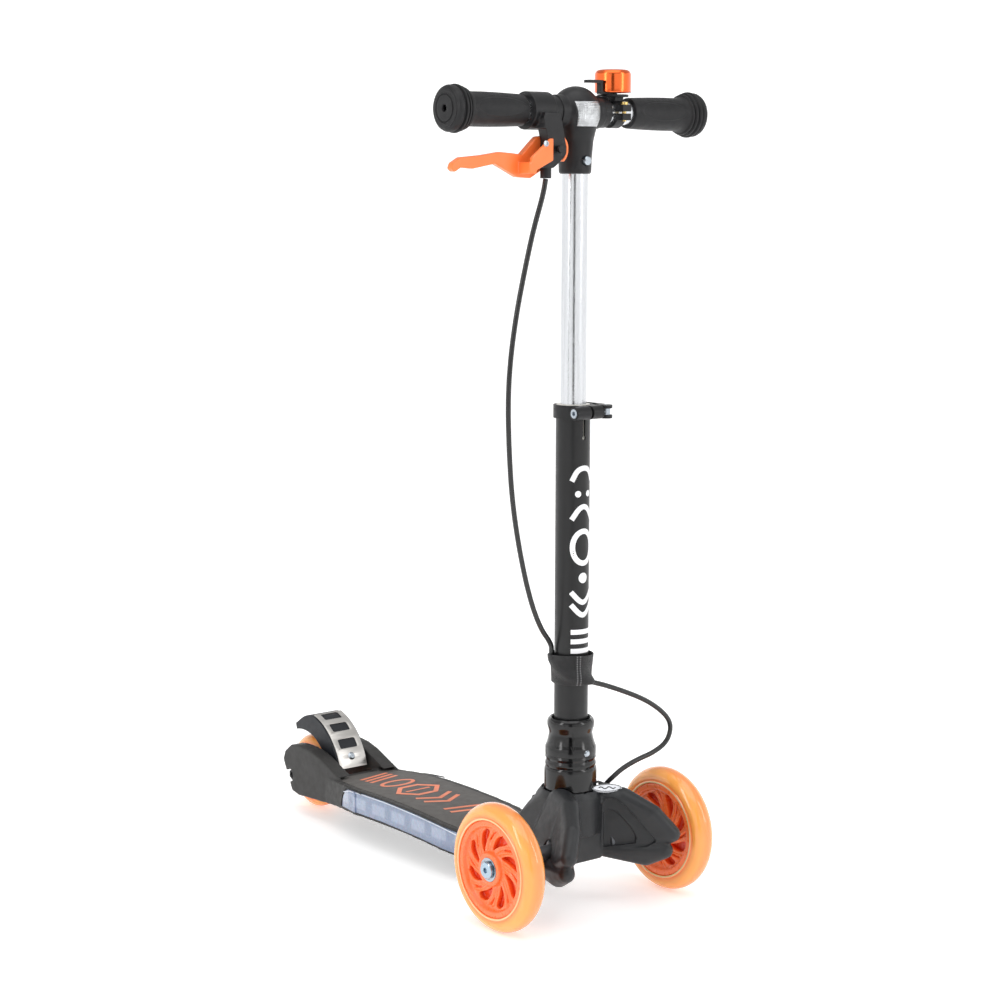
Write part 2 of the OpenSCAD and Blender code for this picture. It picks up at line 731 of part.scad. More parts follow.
module brake_lever() {
    color("darkorange") difference() {
        union() {
            // blade and root
            translate([0, lever_y + 13.6, 0]) along_front() linear_extrude(7)
                offset(r = 2) offset(r = -2) polygon([
                    [-27, lever_z + 8], [-25, lever_z], [-28, lever_z - 8], [-40, lever_z - 15],
                    [-60, lever_z - 26], [-75, lever_z - 25], [-90, lever_z - 18],
                    [-100, lever_z - 13.5], [-125, lever_z - 18], [-138, lever_z - 17],
                    [-145, lever_z - 21], [-149, lever_z - 18], [-147, lever_z - 13],
                    [-138, lever_z - 8], [-115, lever_z - 6], [-95, lever_z - 3],
                    [-80, lever_z - 4], [-70, lever_z - 5], [-58, lever_z + 6],
                    [-52, lever_z + 11], [-44, lever_z + 12], [-34, lever_z + 12]
                ]);
            // front ear, ahead of the bracket's arm
            translate([0, lever_y - 6.4, 0]) along_front() linear_extrude(3) offset(r = 2)
                offset(r = -2) polygon([
                    [-31, lever_z + 5], [-31, lever_z - 5], [-44, lever_z - 9],
                    [-72, lever_z - 22], [-72, lever_z - 8], [-50, lever_z + 9], [-38, lever_z + 9]
                ]);
            // wall that joins the ear to the root
            translate([-74, lever_y - 9.4, lever_z - 22]) cube([8, 20, 10]);
        }
        translate([lever_x, lever_y + 20, lever_z]) along_front()
            cylinder(d = 5 + 2 * tube_gap, h = 40);
    }
}

module lever_screw() {
    color("silver") translate([lever_x, lever_y + 14.5, lever_z]) along_front() {
        cylinder(d = 5, h = 24.5);
        translate([0, 0, 24.5]) cylinder(d = 7.5, h = 2);
    }
}

module cable_adjuster() {
    color([0.08, 0.08, 0.08]) translate([-48, lever_y, lever_z - 26]) {
        translate([0, 0, 5]) cylinder(d = 6, h = 13);
        cylinder(r = 5, h = 9);
    }
}

// ---------- brake cable ----------

cable_d = 4.8;
upper_route = [
    [-48, -209, 684.4], [-51, -209, 670], [-61, -208, 640], [-70, -207, 604], [-78, -205, 564],
    [-83, -203, 524], [-84, -201, 486], [-81, -199, 443], [-75, -196, 397], [-65, -194, 350],
    [-50, -191, 302], [-34, -188, 270], [-18.5, -186, 253], [-18.5, -186, 244]
];
strap_route = [
    [-18.5, -186, 244], [-18.5, -186, 239], [-19, -197, 232], [-14, -206.5, 226.5], [-6, -211.5, 222.5]
];
lower_route = [
    [7, -214, 218], [23, -215, 213], [46, -216, 204], [71, -217, 193], [90, -218, 181],
    [103, -218, 169], [107, -217, 158], [103, -215, 145], [88, -213, 137], [70, -211, 133],
    [53, -209, 127], [41, -208, 120], [35, -203, 112], [32, -200, 102]
];

module brake_cable_upper() {
    color([0.05, 0.05, 0.05]) tube(smooth_once(upper_route), cable_d);
}

module brake_cable_lower() {
    color([0.05, 0.05, 0.05]) tube(smooth_once(concat(strap_route, lower_route)), cable_d);
}

// ---------- bell ----------

module at_bell(z) translate([bell_x, stem_y, bar_z + z]) children();

module bell_clamp() {
    color([0.08, 0.08, 0.08]) at_bell(0) difference() {
        union() {
            translate([-5, 0, 0]) along_x() cylinder(r = 14, h = 10);
            translate([-5, -20, -7]) cube([10, 10, 14]);
            translate([-5, -9, 8]) cube([10, 18, bell_pad_z - 8]);
        }
        translate([-8, 0, 0]) along_x() cylinder(d = bar_d, h = 16);
        translate([-8, -30, -1]) cube([16, 26, 2]);
        translate([0, -16, -20]) cylinder(d = 4, h = 40);
    }
}

module bell_base() {
    color([0.08, 0.08, 0.08]) at_bell(bell_pad_z) {
        cylinder(r = 14.5, h = 2);
        cylinder(r = 4, h = 23.4);
        translate([-8, -4, 0]) cylinder(d = 3, h = 3.8);
    }
}

module bell_dome() {
    color("orange") at_bell(bell_pad_z + 4) rotate_extrude() difference() {
        union() {
            square([16.8, 16]);
            translate([0, 15]) square([12, 5.8]);
            translate([12, 16]) circle(r = 4.8);
        }
        translate([0, -1]) square([15.6, 17]);
        square([11.4, 19.4]);
        translate([11.4, 15.2]) circle(r = 4.2);
        translate([-20, 0]) square([20, 40]);
    }
}

// The lever swings under the dome and comes up beside it
module bell_thumb_lever() {
    color([0.08, 0.08, 0.08]) at_bell(bell_pad_z + 2 + seam) translate([-8, -4, 0]) difference() {
        union() {
            cylinder(r = 3.5, h = 1.6);
            translate([-12.4, -3, 0]) cube([12.4, 6, 1.6]);
            translate([-12.4, -3, 0]) cube([2.4, 6, 12.4]);
            translate([-27, -4, 9.8]) cube([16, 8, 2.6]);
        }
        translate([0, 0, -1]) cylinder(d = 3 + 2 * tube_gap, h = 12);
    }
}

module bell_screws() {
    color("gold") at_bell(0) translate([0, -16, 0]) {
        translate([0, 0, -8]) cylinder(d = 4, h = 15);
        translate([0, 0, 7]) cylinder(d = 7, h = 2.4);
    }
}

// ---------- rear brake ----------

// Radius of the fender's outer line at an angle round the rear axle
function fender_r(a) = a > 112 ? 70 : 55 + 15 * pow(sin(90 * (a - 74) / 38), 1.4);
function around(r, a) = [rear_y + r * cos(a), rear_r + r * sin(a)];

module fender_side(r_in, outset, from, to) {
    polygon(concat(
        [for (a = [from : 4 : to]) around(fender_r(a) + outset, a)],
        [for (a = [to : -4 : from]) around(r_in, a)]
    ));
}

module side_slab(half) {
    translate([-half, 0, 0]) rotate([90, 0, 90]) linear_extrude(2 * half) children();
}

// The children's +Z axis points away from the rear axle at angle a
module at_fender(a) translate([0, rear_y, rear_r]) rotate([a - 90, 0, 0]) children();

module fender_brake() {
    color([0.14, 0.14, 0.15]) difference() {
        side_slab(19) fender_side(48, 0, 74, 166);
        side_slab(16) fender_side(51, -3, 82, 170);
        translate([-30, brake_y, brake_z]) along_x() cylinder(d = 5 + 2 * tube_gap, h = 60);
        at_fender(156) translate([0, 0, 60]) cylinder(d = 4, h = 20);
    }
}

module fender_plate() {
    color("lightgray") difference() {
        side_slab(17.5) polygon(concat(
            [for (a = [106 : 4 : 166]) around(71, a)],
            [for (a = [166 : -4 : 106]) around(70, a)]
        ));
        for (a = [144, 127, 112]) at_fender(a) translate([0, 0, 60]) linear_extrude(20)
            offset(r = 2) square([18, 7], center = true);
        at_fender(156) translate([0, 0, 60]) cylinder(d = 4, h = 20);
    }
}

module fender_rivet() {
    color("silver") at_fender(156) {
        translate([0, 0, 66]) cylinder(d = 4, h = 5);
        translate([0, 0, 71 * cos(2)]) cylinder(r1 = 4.2, r2 = 2.6, h = 1.6);
    }
}

module brake_pad() {
    color("gray") side_slab(11) polygon(concat(
        [for (a = [90 : 4 : 138]) around(48, a)],
        [for (a = [138 : -4 : 90]) around(45.3, a)]
    ));
}

module fender_pin() {
    color("silver") translate([-27, brake_y, brake_z]) along_x() cylinder(d = 5, h = 54);
}

// ---------- which sub-part is drawn ----------

deck_board();
deck_grip_pad();
deck_lens(-1);  // deck_lens_right
deck_lens(1);  // deck_lens_left
deck_light_bars();
battery_box();
battery_door();
head_core();
kingpin();
steering_bushes();
sleeve();
sleeve_button();
lower_tube();
stem_bush();
height_collar();
collar_bolt();
collar_lever();
cable_strap();
upper_tube();
tube_foot();
t_housing();
t_button();
headlight_lens();
bar_tube();
bar_collars();
grip_right();
grip_left();
lever_bracket();
brake_lever();
lever_screw();
cable_adjuster();
brake_cable_upper();
brake_cable_lower();
bell_clamp();
bell_base();
bell_dome();
bell_thumb_lever();
bell_screws();
front_shell();
front_base();
shell_badge();
axle_carrier();
front_axle_bolts();
front_hub(-1);  // front_hub_right
front_tyre(-1);  // front_tyre_right
front_bearings(-1);  // front_bearings_right
front_hub(1);  // front_hub_left
front_tyre(1);  // front_tyre_left
front_bearings(1);  // front_bearings_left
rear_hub();
rear_tyre();
rear_bearings();
rear_axle();
rear_spacers();
fender_brake();
fender_plate();
fender_rivet();
brake_pad();
fender_pin();
deck_screws();
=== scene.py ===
import json
import math

import bpy
from mathutils import Matrix, Vector

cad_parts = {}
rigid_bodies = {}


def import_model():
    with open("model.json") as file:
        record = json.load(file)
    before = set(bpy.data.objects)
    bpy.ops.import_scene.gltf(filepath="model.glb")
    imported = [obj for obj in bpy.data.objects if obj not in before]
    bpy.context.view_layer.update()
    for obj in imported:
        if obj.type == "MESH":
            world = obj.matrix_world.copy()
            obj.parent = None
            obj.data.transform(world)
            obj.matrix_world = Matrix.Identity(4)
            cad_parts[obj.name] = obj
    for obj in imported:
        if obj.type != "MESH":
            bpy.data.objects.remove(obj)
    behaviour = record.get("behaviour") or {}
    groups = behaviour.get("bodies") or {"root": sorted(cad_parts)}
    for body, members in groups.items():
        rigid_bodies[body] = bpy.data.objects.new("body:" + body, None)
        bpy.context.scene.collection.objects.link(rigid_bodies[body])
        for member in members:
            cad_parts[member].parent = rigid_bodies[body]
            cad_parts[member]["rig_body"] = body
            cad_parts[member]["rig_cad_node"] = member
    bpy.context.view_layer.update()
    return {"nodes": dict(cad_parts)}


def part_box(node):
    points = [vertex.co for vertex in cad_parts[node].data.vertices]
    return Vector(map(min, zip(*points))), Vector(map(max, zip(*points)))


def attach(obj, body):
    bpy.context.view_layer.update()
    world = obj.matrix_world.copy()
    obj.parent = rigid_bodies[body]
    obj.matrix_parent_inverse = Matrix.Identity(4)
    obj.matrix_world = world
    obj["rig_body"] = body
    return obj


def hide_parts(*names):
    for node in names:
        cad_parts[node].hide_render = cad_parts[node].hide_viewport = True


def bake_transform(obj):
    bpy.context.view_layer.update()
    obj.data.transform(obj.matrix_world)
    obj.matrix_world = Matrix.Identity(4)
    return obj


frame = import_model()
nodes = frame["nodes"]
MM = 0.001
STEM_Y, BAR_Z = -193, 745
FRONT_AXLE, REAR_AXLE = (-215, 60), (235, 40)
FRONT_X = 104
FRONT_RADIUS, REAR_RADIUS = 60, 40
FRONT_RIM, REAR_RIM = 45, 28
BEARING_SEAT = 11.0
FLIP = Matrix.Diagonal((-1, 1, 1, 1))


# ---------- bench tools ----------

def clear_bench():
    if bpy.context.mode != "OBJECT":
        bpy.ops.object.mode_set(mode="OBJECT")
    bpy.ops.object.select_all(action="DESELECT")


def pick(piece):
    clear_bench()
    piece.select_set(True)
    bpy.context.view_layer.objects.active = piece


def work_on(piece, *steps):
    """Runs edit mode steps on the whole mesh of a piece."""
    pick(piece)
    bpy.ops.object.mode_set(mode="EDIT")
    bpy.ops.mesh.select_all(action="SELECT")
    for step in steps:
        step()
    bpy.ops.object.mode_set(mode="OBJECT")


def weld(gap=1e-5):
    return lambda: bpy.ops.mesh.remove_doubles(threshold=gap)


def face_outwards():
    bpy.ops.mesh.normals_make_consistent(inside=False)


def modify(piece, kind, **settings):
    pick(piece)
    modifier = piece.modifiers.new(kind.lower(), kind)
    for key, value in settings.items():
        setattr(modifier, key, value)
    bpy.ops.object.modifier_apply(modifier=modifier.name)


def smooth(piece, angle=40):
    pick(piece)
    bpy.ops.object.shade_smooth_by_angle(angle=math.radians(angle))
    return piece


def soften(piece, voxel, rounds=3, keep=1.0):
    """Melts a piece's corners together, as moulding does."""
    modify(piece, "REMESH", mode="VOXEL", voxel_size=voxel * MM)
    modify(piece, "SMOOTH", factor=0.5, iterations=rounds)
    if keep < 1:
        modify(piece, "DECIMATE", ratio=keep)
    return smooth(piece, 180)


def join(*pieces):
    clear_bench()
    for piece in pieces:
        piece.select_set(True)
    bpy.context.view_layer.objects.active = pieces[0]
    bpy.ops.object.join()
    return pieces[0]


def cut(piece, tool):
    modify(piece, "BOOLEAN", object=tool, operation="DIFFERENCE", solver="EXACT")
    bpy.data.objects.remove(tool)
    return piece


def twin(piece, name, flip=False, shift=(0, 0, 0)):
    """A second piece from the same pattern, mirrored across the middle or moved."""
    other = piece.copy()
    other.data = piece.data.copy()
    other.name = name
    bpy.context.scene.collection.objects.link(other)
    move = Matrix.Translation([c * MM for c in shift])
    if flip:
        move = move @ FLIP
    other.data.transform(move)
    if flip:
        work_on(other, face_outwards)
    return other


def taken(node):
    """A welded copy of a CAD node, free to be shaped."""
    piece = nodes[node].copy()
    piece.data = nodes[node].data.copy()
    piece.name = node.replace("_", "-")
    piece.parent = None
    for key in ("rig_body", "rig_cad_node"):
        if key in piece:
            del piece[key]
    bpy.context.scene.collection.objects.link(piece)
    piece.data.materials.clear()
    if "custom_normal" in piece.data.attributes:
        pick(piece)
        bpy.ops.mesh.customdata_custom_splitnormals_clear()
    work_on(piece, weld(2e-5))
    return piece


def plate(name, outline, push):
    """A flat outline, filled and extruded."""
    clear_bench()
    bpy.ops.mesh.primitive_circle_add(vertices=len(outline), radius=0.01)
    piece = bpy.context.object
    piece.name = name
    for vertex, place in zip(piece.data.vertices, outline):
        vertex.co = [c * MM for c in place]
    work_on(
        piece,
        bpy.ops.mesh.edge_face_add,
        lambda: bpy.ops.mesh.extrude_region_move(
            TRANSFORM_OT_translate={"value": [c * MM for c in push]}
        ),
        lambda: bpy.ops.mesh.select_all(action="SELECT"),
        face_outwards,
    )
    return piece


def turned(name, profile, centre=(0, 0, 0), axis="X", steps=96, shut=True):
    """A profile of (radius, place along the axis), spun once round the axis.

    A profile that isn't shut loses the edge between its two ends before the spin.
    """
    clear_bench()
    bpy.ops.mesh.primitive_circle_add(vertices=len(profile), radius=0.01)
    piece = bpy.context.object
    piece.name = name
    along = {"X": Vector((1, 0, 0)), "Y": Vector((0, 1, 0)), "Z": Vector((0, 0, 1))}[axis]
    out = Vector((1, 0, 0)) if axis == "Z" else Vector((0, 0, 1))
    for vertex, (radius, place) in zip(piece.data.vertices, profile):
        vertex.co = (Vector(centre) + along * place + out * radius) * MM
    if not shut:
        last = len(profile) - 1
        pick(piece)
        bpy.ops.object.mode_set(mode="EDIT")
        bpy.ops.mesh.select_mode(type="EDGE")
        bpy.ops.mesh.select_all(action="DESELECT")
        bpy.ops.object.mode_set(mode="OBJECT")
        for edge in piece.data.edges:
            edge.select = set(edge.vertices) == {0, last}
        bpy.ops.object.mode_set(mode="EDIT")
        bpy.ops.mesh.delete(type="EDGE")
        bpy.ops.mesh.select_mode(type="VERT")
        bpy.ops.object.mode_set(mode="OBJECT")
    middle = [c * MM for c in centre]
    work_on(
        piece,
        lambda: bpy.ops.mesh.spin(steps=steps, angle=2 * math.pi, center=middle, axis=along),
        lambda: bpy.ops.mesh.select_all(action="SELECT"),
        weld(),
        face_outwards,
    )
    return smooth(piece, 35)


def rounded_line(points, rounds=3):
    """Cuts the corners of a route a few times, keeping its two ends."""
    line = [Vector(p) for p in points]
    for _ in range(rounds):
        cornered = [line[0]]
        for a, b in zip(line, line[1:]):
            cornered += [a.lerp(b, 0.25), a.lerp(b, 0.75)]
        line = cornered + [line[-1]]
    return line


def rod(name, points, radius, taper=None, sides=4):
    """A round rod along a line; taper gives each point's share of the radius."""
    curve = bpy.data.curves.new(name, "CURVE")
    curve.dimensions = "3D"
    curve.bevel_depth = radius * MM
    curve.bevel_resolution = sides
    curve.use_fill_caps = True
    spline = curve.splines.new("POLY")
    spline.points.add(len(points) - 1)
    for i, (spot, place) in enumerate(zip(spline.points, points)):
        spot.co = (*[c * MM for c in place], 1)
        spot.radius = taper[i] if taper else 1
    piece = bpy.data.objects.new(name, curve)
    bpy.context.scene.collection.objects.link(piece)
    pick(piece)
    bpy.ops.object.convert(target="MESH")
    piece = bpy.context.object
    work_on(piece, weld(), face_outwards)
    return smooth(piece, 60)


def stroke(name, line, width, lay, closed=False, thick=0.15):
    """A printed stroke: a grid strip laid along a flat line by lay(u, v)."""
    line = [Vector(p) for p in line]
    if closed:
        line.append(line[0])
    count = len(line)
    clear_bench()
    bpy.ops.mesh.primitive_grid_add(x_subdivisions=count - 1, y_subdivisions=1, size=0.01)
    piece = bpy.context.object
    piece.name = name
    edges = []
    for i, spot in enumerate(line):
        before = line[i - 1] if i else (line[-2] if closed else line[0])
        after = line[i + 1] if i < count - 1 else (line[1] if closed else line[-1])
        way_in = (spot - before).normalized() if (spot - before).length else None
        way_out = (after - spot).normalized() if (after - spot).length else None
        way_in, way_out = way_in or way_out, way_out or way_in
        way = (way_in + way_out).normalized()
        side = Vector((-way.y, way.x))
        reach = width / 2 / max(0.5, side.dot(Vector((-way_in.y, way_in.x))))
        edges.append((spot - side * reach, spot + side * reach))
    for i, (low, high) in enumerate(edges):
        piece.data.vertices[i].co = [c * MM for c in lay(*low)]
        piece.data.vertices[count + i].co = [c * MM for c in lay(*high)]
    modify(piece, "SOLIDIFY", thickness=thick * MM, offset=0)
    work_on(piece, weld(1e-6), face_outwards)
    return piece


def fit(piece, body, slot, *materials, instead=()):
    """Puts a finished piece on its body, with its finish."""
    piece.data.materials.clear()
    for material in materials:
        piece.data.materials.append(material)
    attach(piece, body)
    if instead:
        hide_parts(*([instead] if isinstance(instead, str) else instead))
    return piece


# ---------- finishes ----------

def shade(r, g, b):
    return tuple(
        c / 255 / 12.92 if c <= 10 else ((c / 255 + 0.055) / 1.055) ** 2.4 for c in (r, g, b)
    )


class Finish:
    """A material with its nodes: colour that drifts a little, roughness and a fine relief."""

    def __init__(self, name, colour, drift=0.08, rough=0.45, rough_drift=0.08, patch=25,
                 grain=1400, relief=0.03, stretch=(1, 1, 1), **sockets):
        self.material = bpy.data.materials.new(name)
        self.material.use_nodes = True
        self.tree = self.material.node_tree
        self.shader = self.tree.nodes["Principled BSDF"]
        for key, value in sockets.items():
            self.shader.inputs[key.replace("_", " ")].default_value = value
        self.place = self.add("ShaderNodeTexCoord").outputs["Object"]
        if stretch != (1, 1, 1):
            mapping = self.add("ShaderNodeMapping")
            mapping.inputs["Scale"].default_value = stretch
            self.link(self.place, mapping.inputs["Vector"])
            grain_place = mapping.outputs["Vector"]
        else:
            grain_place = self.place
        patches = self.noise(patch, 5, grain_place)
        self.colour = self.blend(
            patches,
            [c * (1 - drift) for c in colour],
            [min(1, c * (1 + drift)) for c in colour],
            0.35, 0.65,
        )
        self.link(self.colour, self.shader.inputs["Base Color"])
        self.link(
            self.range(self.noise(patch * 6, 4, grain_place), 0.3, 0.7,
                       max(0.02, rough - rough_drift), rough + rough_drift),
            self.shader.inputs["Roughness"],
        )
        self.bump = self.add("ShaderNodeBump")
        self.bump.inputs["Distance"].default_value = relief * MM
        self.bump.inputs["Strength"].default_value = 1
        self.height = self.noise(grain, 3, grain_place)
        self.link(self.height, self.bump.inputs["Height"])
        self.link(self.bump.outputs["Normal"], self.shader.inputs["Normal"])

    def add(self, kind, **settings):
        node = self.tree.nodes.new(kind)
        for key, value in settings.items():
            setattr(node, key, value)
        return node

    def link(self, a, b):
        self.tree.links.new(a, b)

    def noise(self, scale, detail, place):
        node = self.add("ShaderNodeTexNoise")
        node.inputs["Scale"].default_value = scale
        node.inputs["Detail"].default_value = detail
        self.link(place, node.inputs["Vector"])
        return node.outputs["Fac"]

    def range(self, value, low, high, to_low, to_high):
        node = self.add("ShaderNodeMapRange")
        limits = {"From Min": low, "From Max": high, "To Min": to_low, "To Max": to_high}
        for key, number in limits.items():
            node.inputs[key].default_value = number
        self.link(value, node.inputs["Value"])
        return node.outputs["Result"]

    def blend(self, factor, first, second, low=0.0, high=1.0):
        """Mixes two colours, each a colour or a socket, as a factor goes from low to high."""
        node = self.add("ShaderNodeMix", data_type="RGBA")
        self.link(self.range(factor, low, high, 0, 1), node.inputs["Factor"])
        for key, colour in (("A", first), ("B", second)):
            socket = [s for s in node.inputs if s.name == key and s.type == "RGBA"][0]
            if isinstance(colour, bpy.types.NodeSocket):
                self.link(colour, socket)
            else:
                socket.default_value = (*colour, 1)
        return [s for s in node.outputs if s.type == "RGBA"][0]

    def maths(self, operation, *values):
        node = self.add("ShaderNodeMath", operation=operation)
        for socket, value in zip(node.inputs, values):
            if isinstance(value, bpy.types.NodeSocket):
                self.link(value, socket)
            else:
                socket.default_value = value
        return node.outputs[0]

    def axes(self, centre=(0, 0, 0)):
        """The three coordinates in millimetres from a centre."""
        node = self.add("ShaderNodeSeparateXYZ")
        self.link(self.place, node.inputs[0])
        return [
            self.maths("MULTIPLY_ADD", out, 1000, -c) for out, c in zip(node.outputs, centre)
        ]

    def from_axle(self, axle):
        """Distance from an axle that runs across, in millimetres."""
        _, y, z = self.axes((0, *axle))
        squares = self.maths("ADD", self.maths("MULTIPLY", y, y), self.maths("MULTIPLY", z, z))
        return self.maths("SQRT", squares)

    def recolour(self, socket):
        self.colour = socket
        self.link(socket, self.shader.inputs["Base Color"])

    def raise_by(self, socket, amount):
        """Adds a pattern to the relief."""
        self.height = self.maths("ADD", self.height, self.maths("MULTIPLY", socket, amount))
        self.link(self.height, self.bump.inputs["Height"])


def tyre_finish(name, axle, radius, rim):
    """Cast clear orange: a pale bead line by the rim, deeper at the rim, and painted shade on the
    tread for the grazing look of its clear edge.
    """
    tyre = Finish(name, shade(255, 168, 84), drift=0.03, rough=0.13, rough_drift=0.05, grain=300,
                  relief=0.02, patch=30, Coat_Weight=0.6, Coat_Roughness=0.08, IOR=1.45,
                  Subsurface_Weight=0.25, Subsurface_Scale=0.006)
    tyre.shader.inputs["Subsurface Radius"].default_value = (1.0, 0.45, 0.2)
    distance = tyre.from_axle(axle)
    tyre.recolour(tyre.blend(distance, shade(255, 122, 62), tyre.colour, rim + 1.5, rim + 6.5))
    bead = tyre.maths("ABSOLUTE", tyre.maths("SUBTRACT", distance, rim + 1.2))
    tyre.recolour(tyre.blend(bead, shade(222, 196, 138), tyre.colour, 0.5, 1.1))
    # painted shade: the tread is darkened towards its outer edge, standing for how its clear edge
    # looks at a grazing angle
    tyre.recolour(tyre.blend(distance, tyre.colour, shade(246, 150, 84), radius - 3, radius))
    return tyre.material


def hub_finish(name, middle):
    """Orange plastic, with painted shade: redder in the depths of its pockets."""
    hub = Finish(name, shade(255, 116, 52), drift=0.05, rough=0.3, grain=500, relief=0.02,
                 patch=40, Coat_Weight=0.35, Coat_Roughness=0.15, Subsurface_Weight=0.15,
                 Subsurface_Scale=0.004)
    hub.shader.inputs["Subsurface Radius"].default_value = (1.0, 0.3, 0.1)
    depth = hub.maths("ABSOLUTE", hub.axes((middle, 0, 0))[0])
    # painted shade: the colour turns a deeper red towards the middle of the hub, deep in its
    # pockets where shade falls
    hub.recolour(hub.blend(depth, shade(232, 70, 18), hub.colour, 2.5, 6.0))
    return hub.material


def brushed(name, colour, stretch, rough=0.3, relief=0.012, **more):
    return Finish(name, colour, drift=0.06, rough=rough, grain=900, relief=relief, patch=60,
                  stretch=stretch, Metallic=1.0, **more).material


def plain(name, colour, **more):
    return Finish(name, colour, **more).material


GRAPHITE = dict(rough=0.52, grain=1100, relief=0.05, Specular_IOR_Level=0.35)
deck_plastic = plain("deck_plastic", shade(50, 49, 48), **GRAPHITE)
deck_top = plain("deck_top", shade(84, 81, 78), rough=0.62, grain=1500, relief=0.09, patch=18)
deck_print = plain("deck_print", shade(228, 128, 92), rough=0.5, grain=1500, relief=0.05)
tube_print = plain("tube_print", shade(240, 240, 242), rough=0.35, grain=900, relief=0.01)
black_plastic = plain("black_plastic", shade(22, 22, 24), rough=0.42, grain=900, relief=0.03,
                      Specular_IOR_Level=0.35)
gloss_black = plain("gloss_black", shade(10, 10, 11), rough=0.16, grain=260, relief=0.02,
                    Coat_Weight=0.2, Coat_Roughness=0.08, Specular_IOR_Level=0.4)
cover_plastic = plain("cover_plastic", shade(36, 37, 39), rough=0.42, grain=1200, relief=0.04,
                      Specular_IOR_Level=0.4)
inner_plastic = plain("inner_plastic", shade(44, 44, 44), rough=0.55)
fender_plastic = plain("fender_plastic", shade(30, 32, 37), rough=0.42, grain=1200, relief=0.03,
                       Specular_IOR_Level=0.35)
black_paint = plain("black_paint", shade(20, 20, 21), rough=0.34, rough_drift=0.05, grain=700,
                    relief=0.012, Specular_IOR_Level=0.35, Coat_Weight=0.1, Coat_Roughness=0.25)
cable_jacket = plain("cable_jacket", shade(12, 12, 13), rough=0.32, grain=500, relief=0.02,
                     Coat_Weight=0.2, Coat_Roughness=0.2)
lever_orange = plain("lever_orange", shade(255, 124, 58), drift=0.03, rough=0.36, grain=900,
                     relief=0.015, Coat_Weight=0.15, Coat_Roughness=0.2)
bell_orange = Finish("bell_orange", shade(238, 104, 44), drift=0.04, rough=0.2, rough_drift=0.04,
                     grain=700, relief=0.004, Metallic=0.92, Coat_Weight=0.3,
                     Coat_Roughness=0.1).material
bright_tube = brushed("bright_tube", shade(214, 216, 219), (6, 6, 0.25), rough=0.22, relief=0.004)
steel = brushed("steel", shade(176, 184, 192), (1, 1, 1), rough=0.26, relief=0.004)
bolt_zinc = brushed("bolt_zinc", shade(170, 190, 204), (1, 1, 1), rough=0.24, relief=0.004)
brake_plate = brushed("brake_plate", shade(206, 203, 199), (0.15, 3, 3), rough=0.36, relief=0.01)
brass = brushed("brass", shade(222, 190, 120), (1, 1, 1), rough=0.25)
cast_metal = brushed("cast_metal", shade(128, 130, 134), (1, 1, 1), rough=0.5, relief=0.05)
bush_plastic = plain("bush_plastic", shade(214, 212, 204), rough=0.4)
bush_rubber = plain("bush_rubber", shade(150, 82, 44), rough=0.6)
badge_silver = plain("badge_silver", shade(196, 198, 203), drift=0.04, rough=0.28, grain=700,
                     relief=0.008, Metallic=0.5, Coat_Weight=0.6, Coat_Roughness=0.1)
light_bar = plain("light_bar", shade(206, 212, 222), rough=0.3)
# near-black: the real seal round each light strip, and painted shade on the rear axle for the dark
# of the recess round it
seal_black_and_recess_shade = plain("seal_black_and_recess_shade", shade(14, 14, 15), rough=0.6)


def lens_finish():
    """Milky blue-grey plastic, with paler modules showing through along its length."""
    lens = Finish("lens_plastic", shade(128, 140, 164), drift=0.05, rough=0.26, grain=300,
                  relief=0.02, patch=20, Coat_Weight=0.5, Coat_Roughness=0.15,
                  Subsurface_Weight=0.2, Subsurface_Scale=0.004)
    _, y, z = lens.axes()
    period = lens.maths("PINGPONG", y, 17)
    in_module = lens.range(period, 4.5, 7.0, 0, 1)
    height = lens.maths("ABSOLUTE", lens.maths("SUBTRACT", z, 43.5))
    band = lens.range(height, 4.5, 6.5, 1, 0)
    modules = lens.maths("MULTIPLY", in_module, band)
    lens.recolour(lens.blend(modules, lens.colour, shade(152, 163, 184)))
    lens.recolour(lens.blend(z, shade(112, 124, 150), lens.colour, 31, 36))
    return lens.material


lens_plastic = lens_finish()


def lamp_finish():
    """Clear silvery plastic over a grid of prisms."""
    lamp = Finish("lamp_lens", shade(182, 184, 186), drift=0.18, rough=0.16, grain=260,
                  relief=0.02, patch=160, Metallic=0.75, Coat_Weight=1.0, Coat_Roughness=0.05)
    x, _, z = lamp.axes((0, 0, BAR_Z))
    prisms = lamp.maths("ADD", lamp.maths("SINE", lamp.maths("MULTIPLY", x, 3.2)),
                        lamp.maths("SINE", lamp.maths("MULTIPLY", z, 4.4)))
    lamp.raise_by(prisms, 3.5)
    return lamp.material


lamp_lens = lamp_finish()


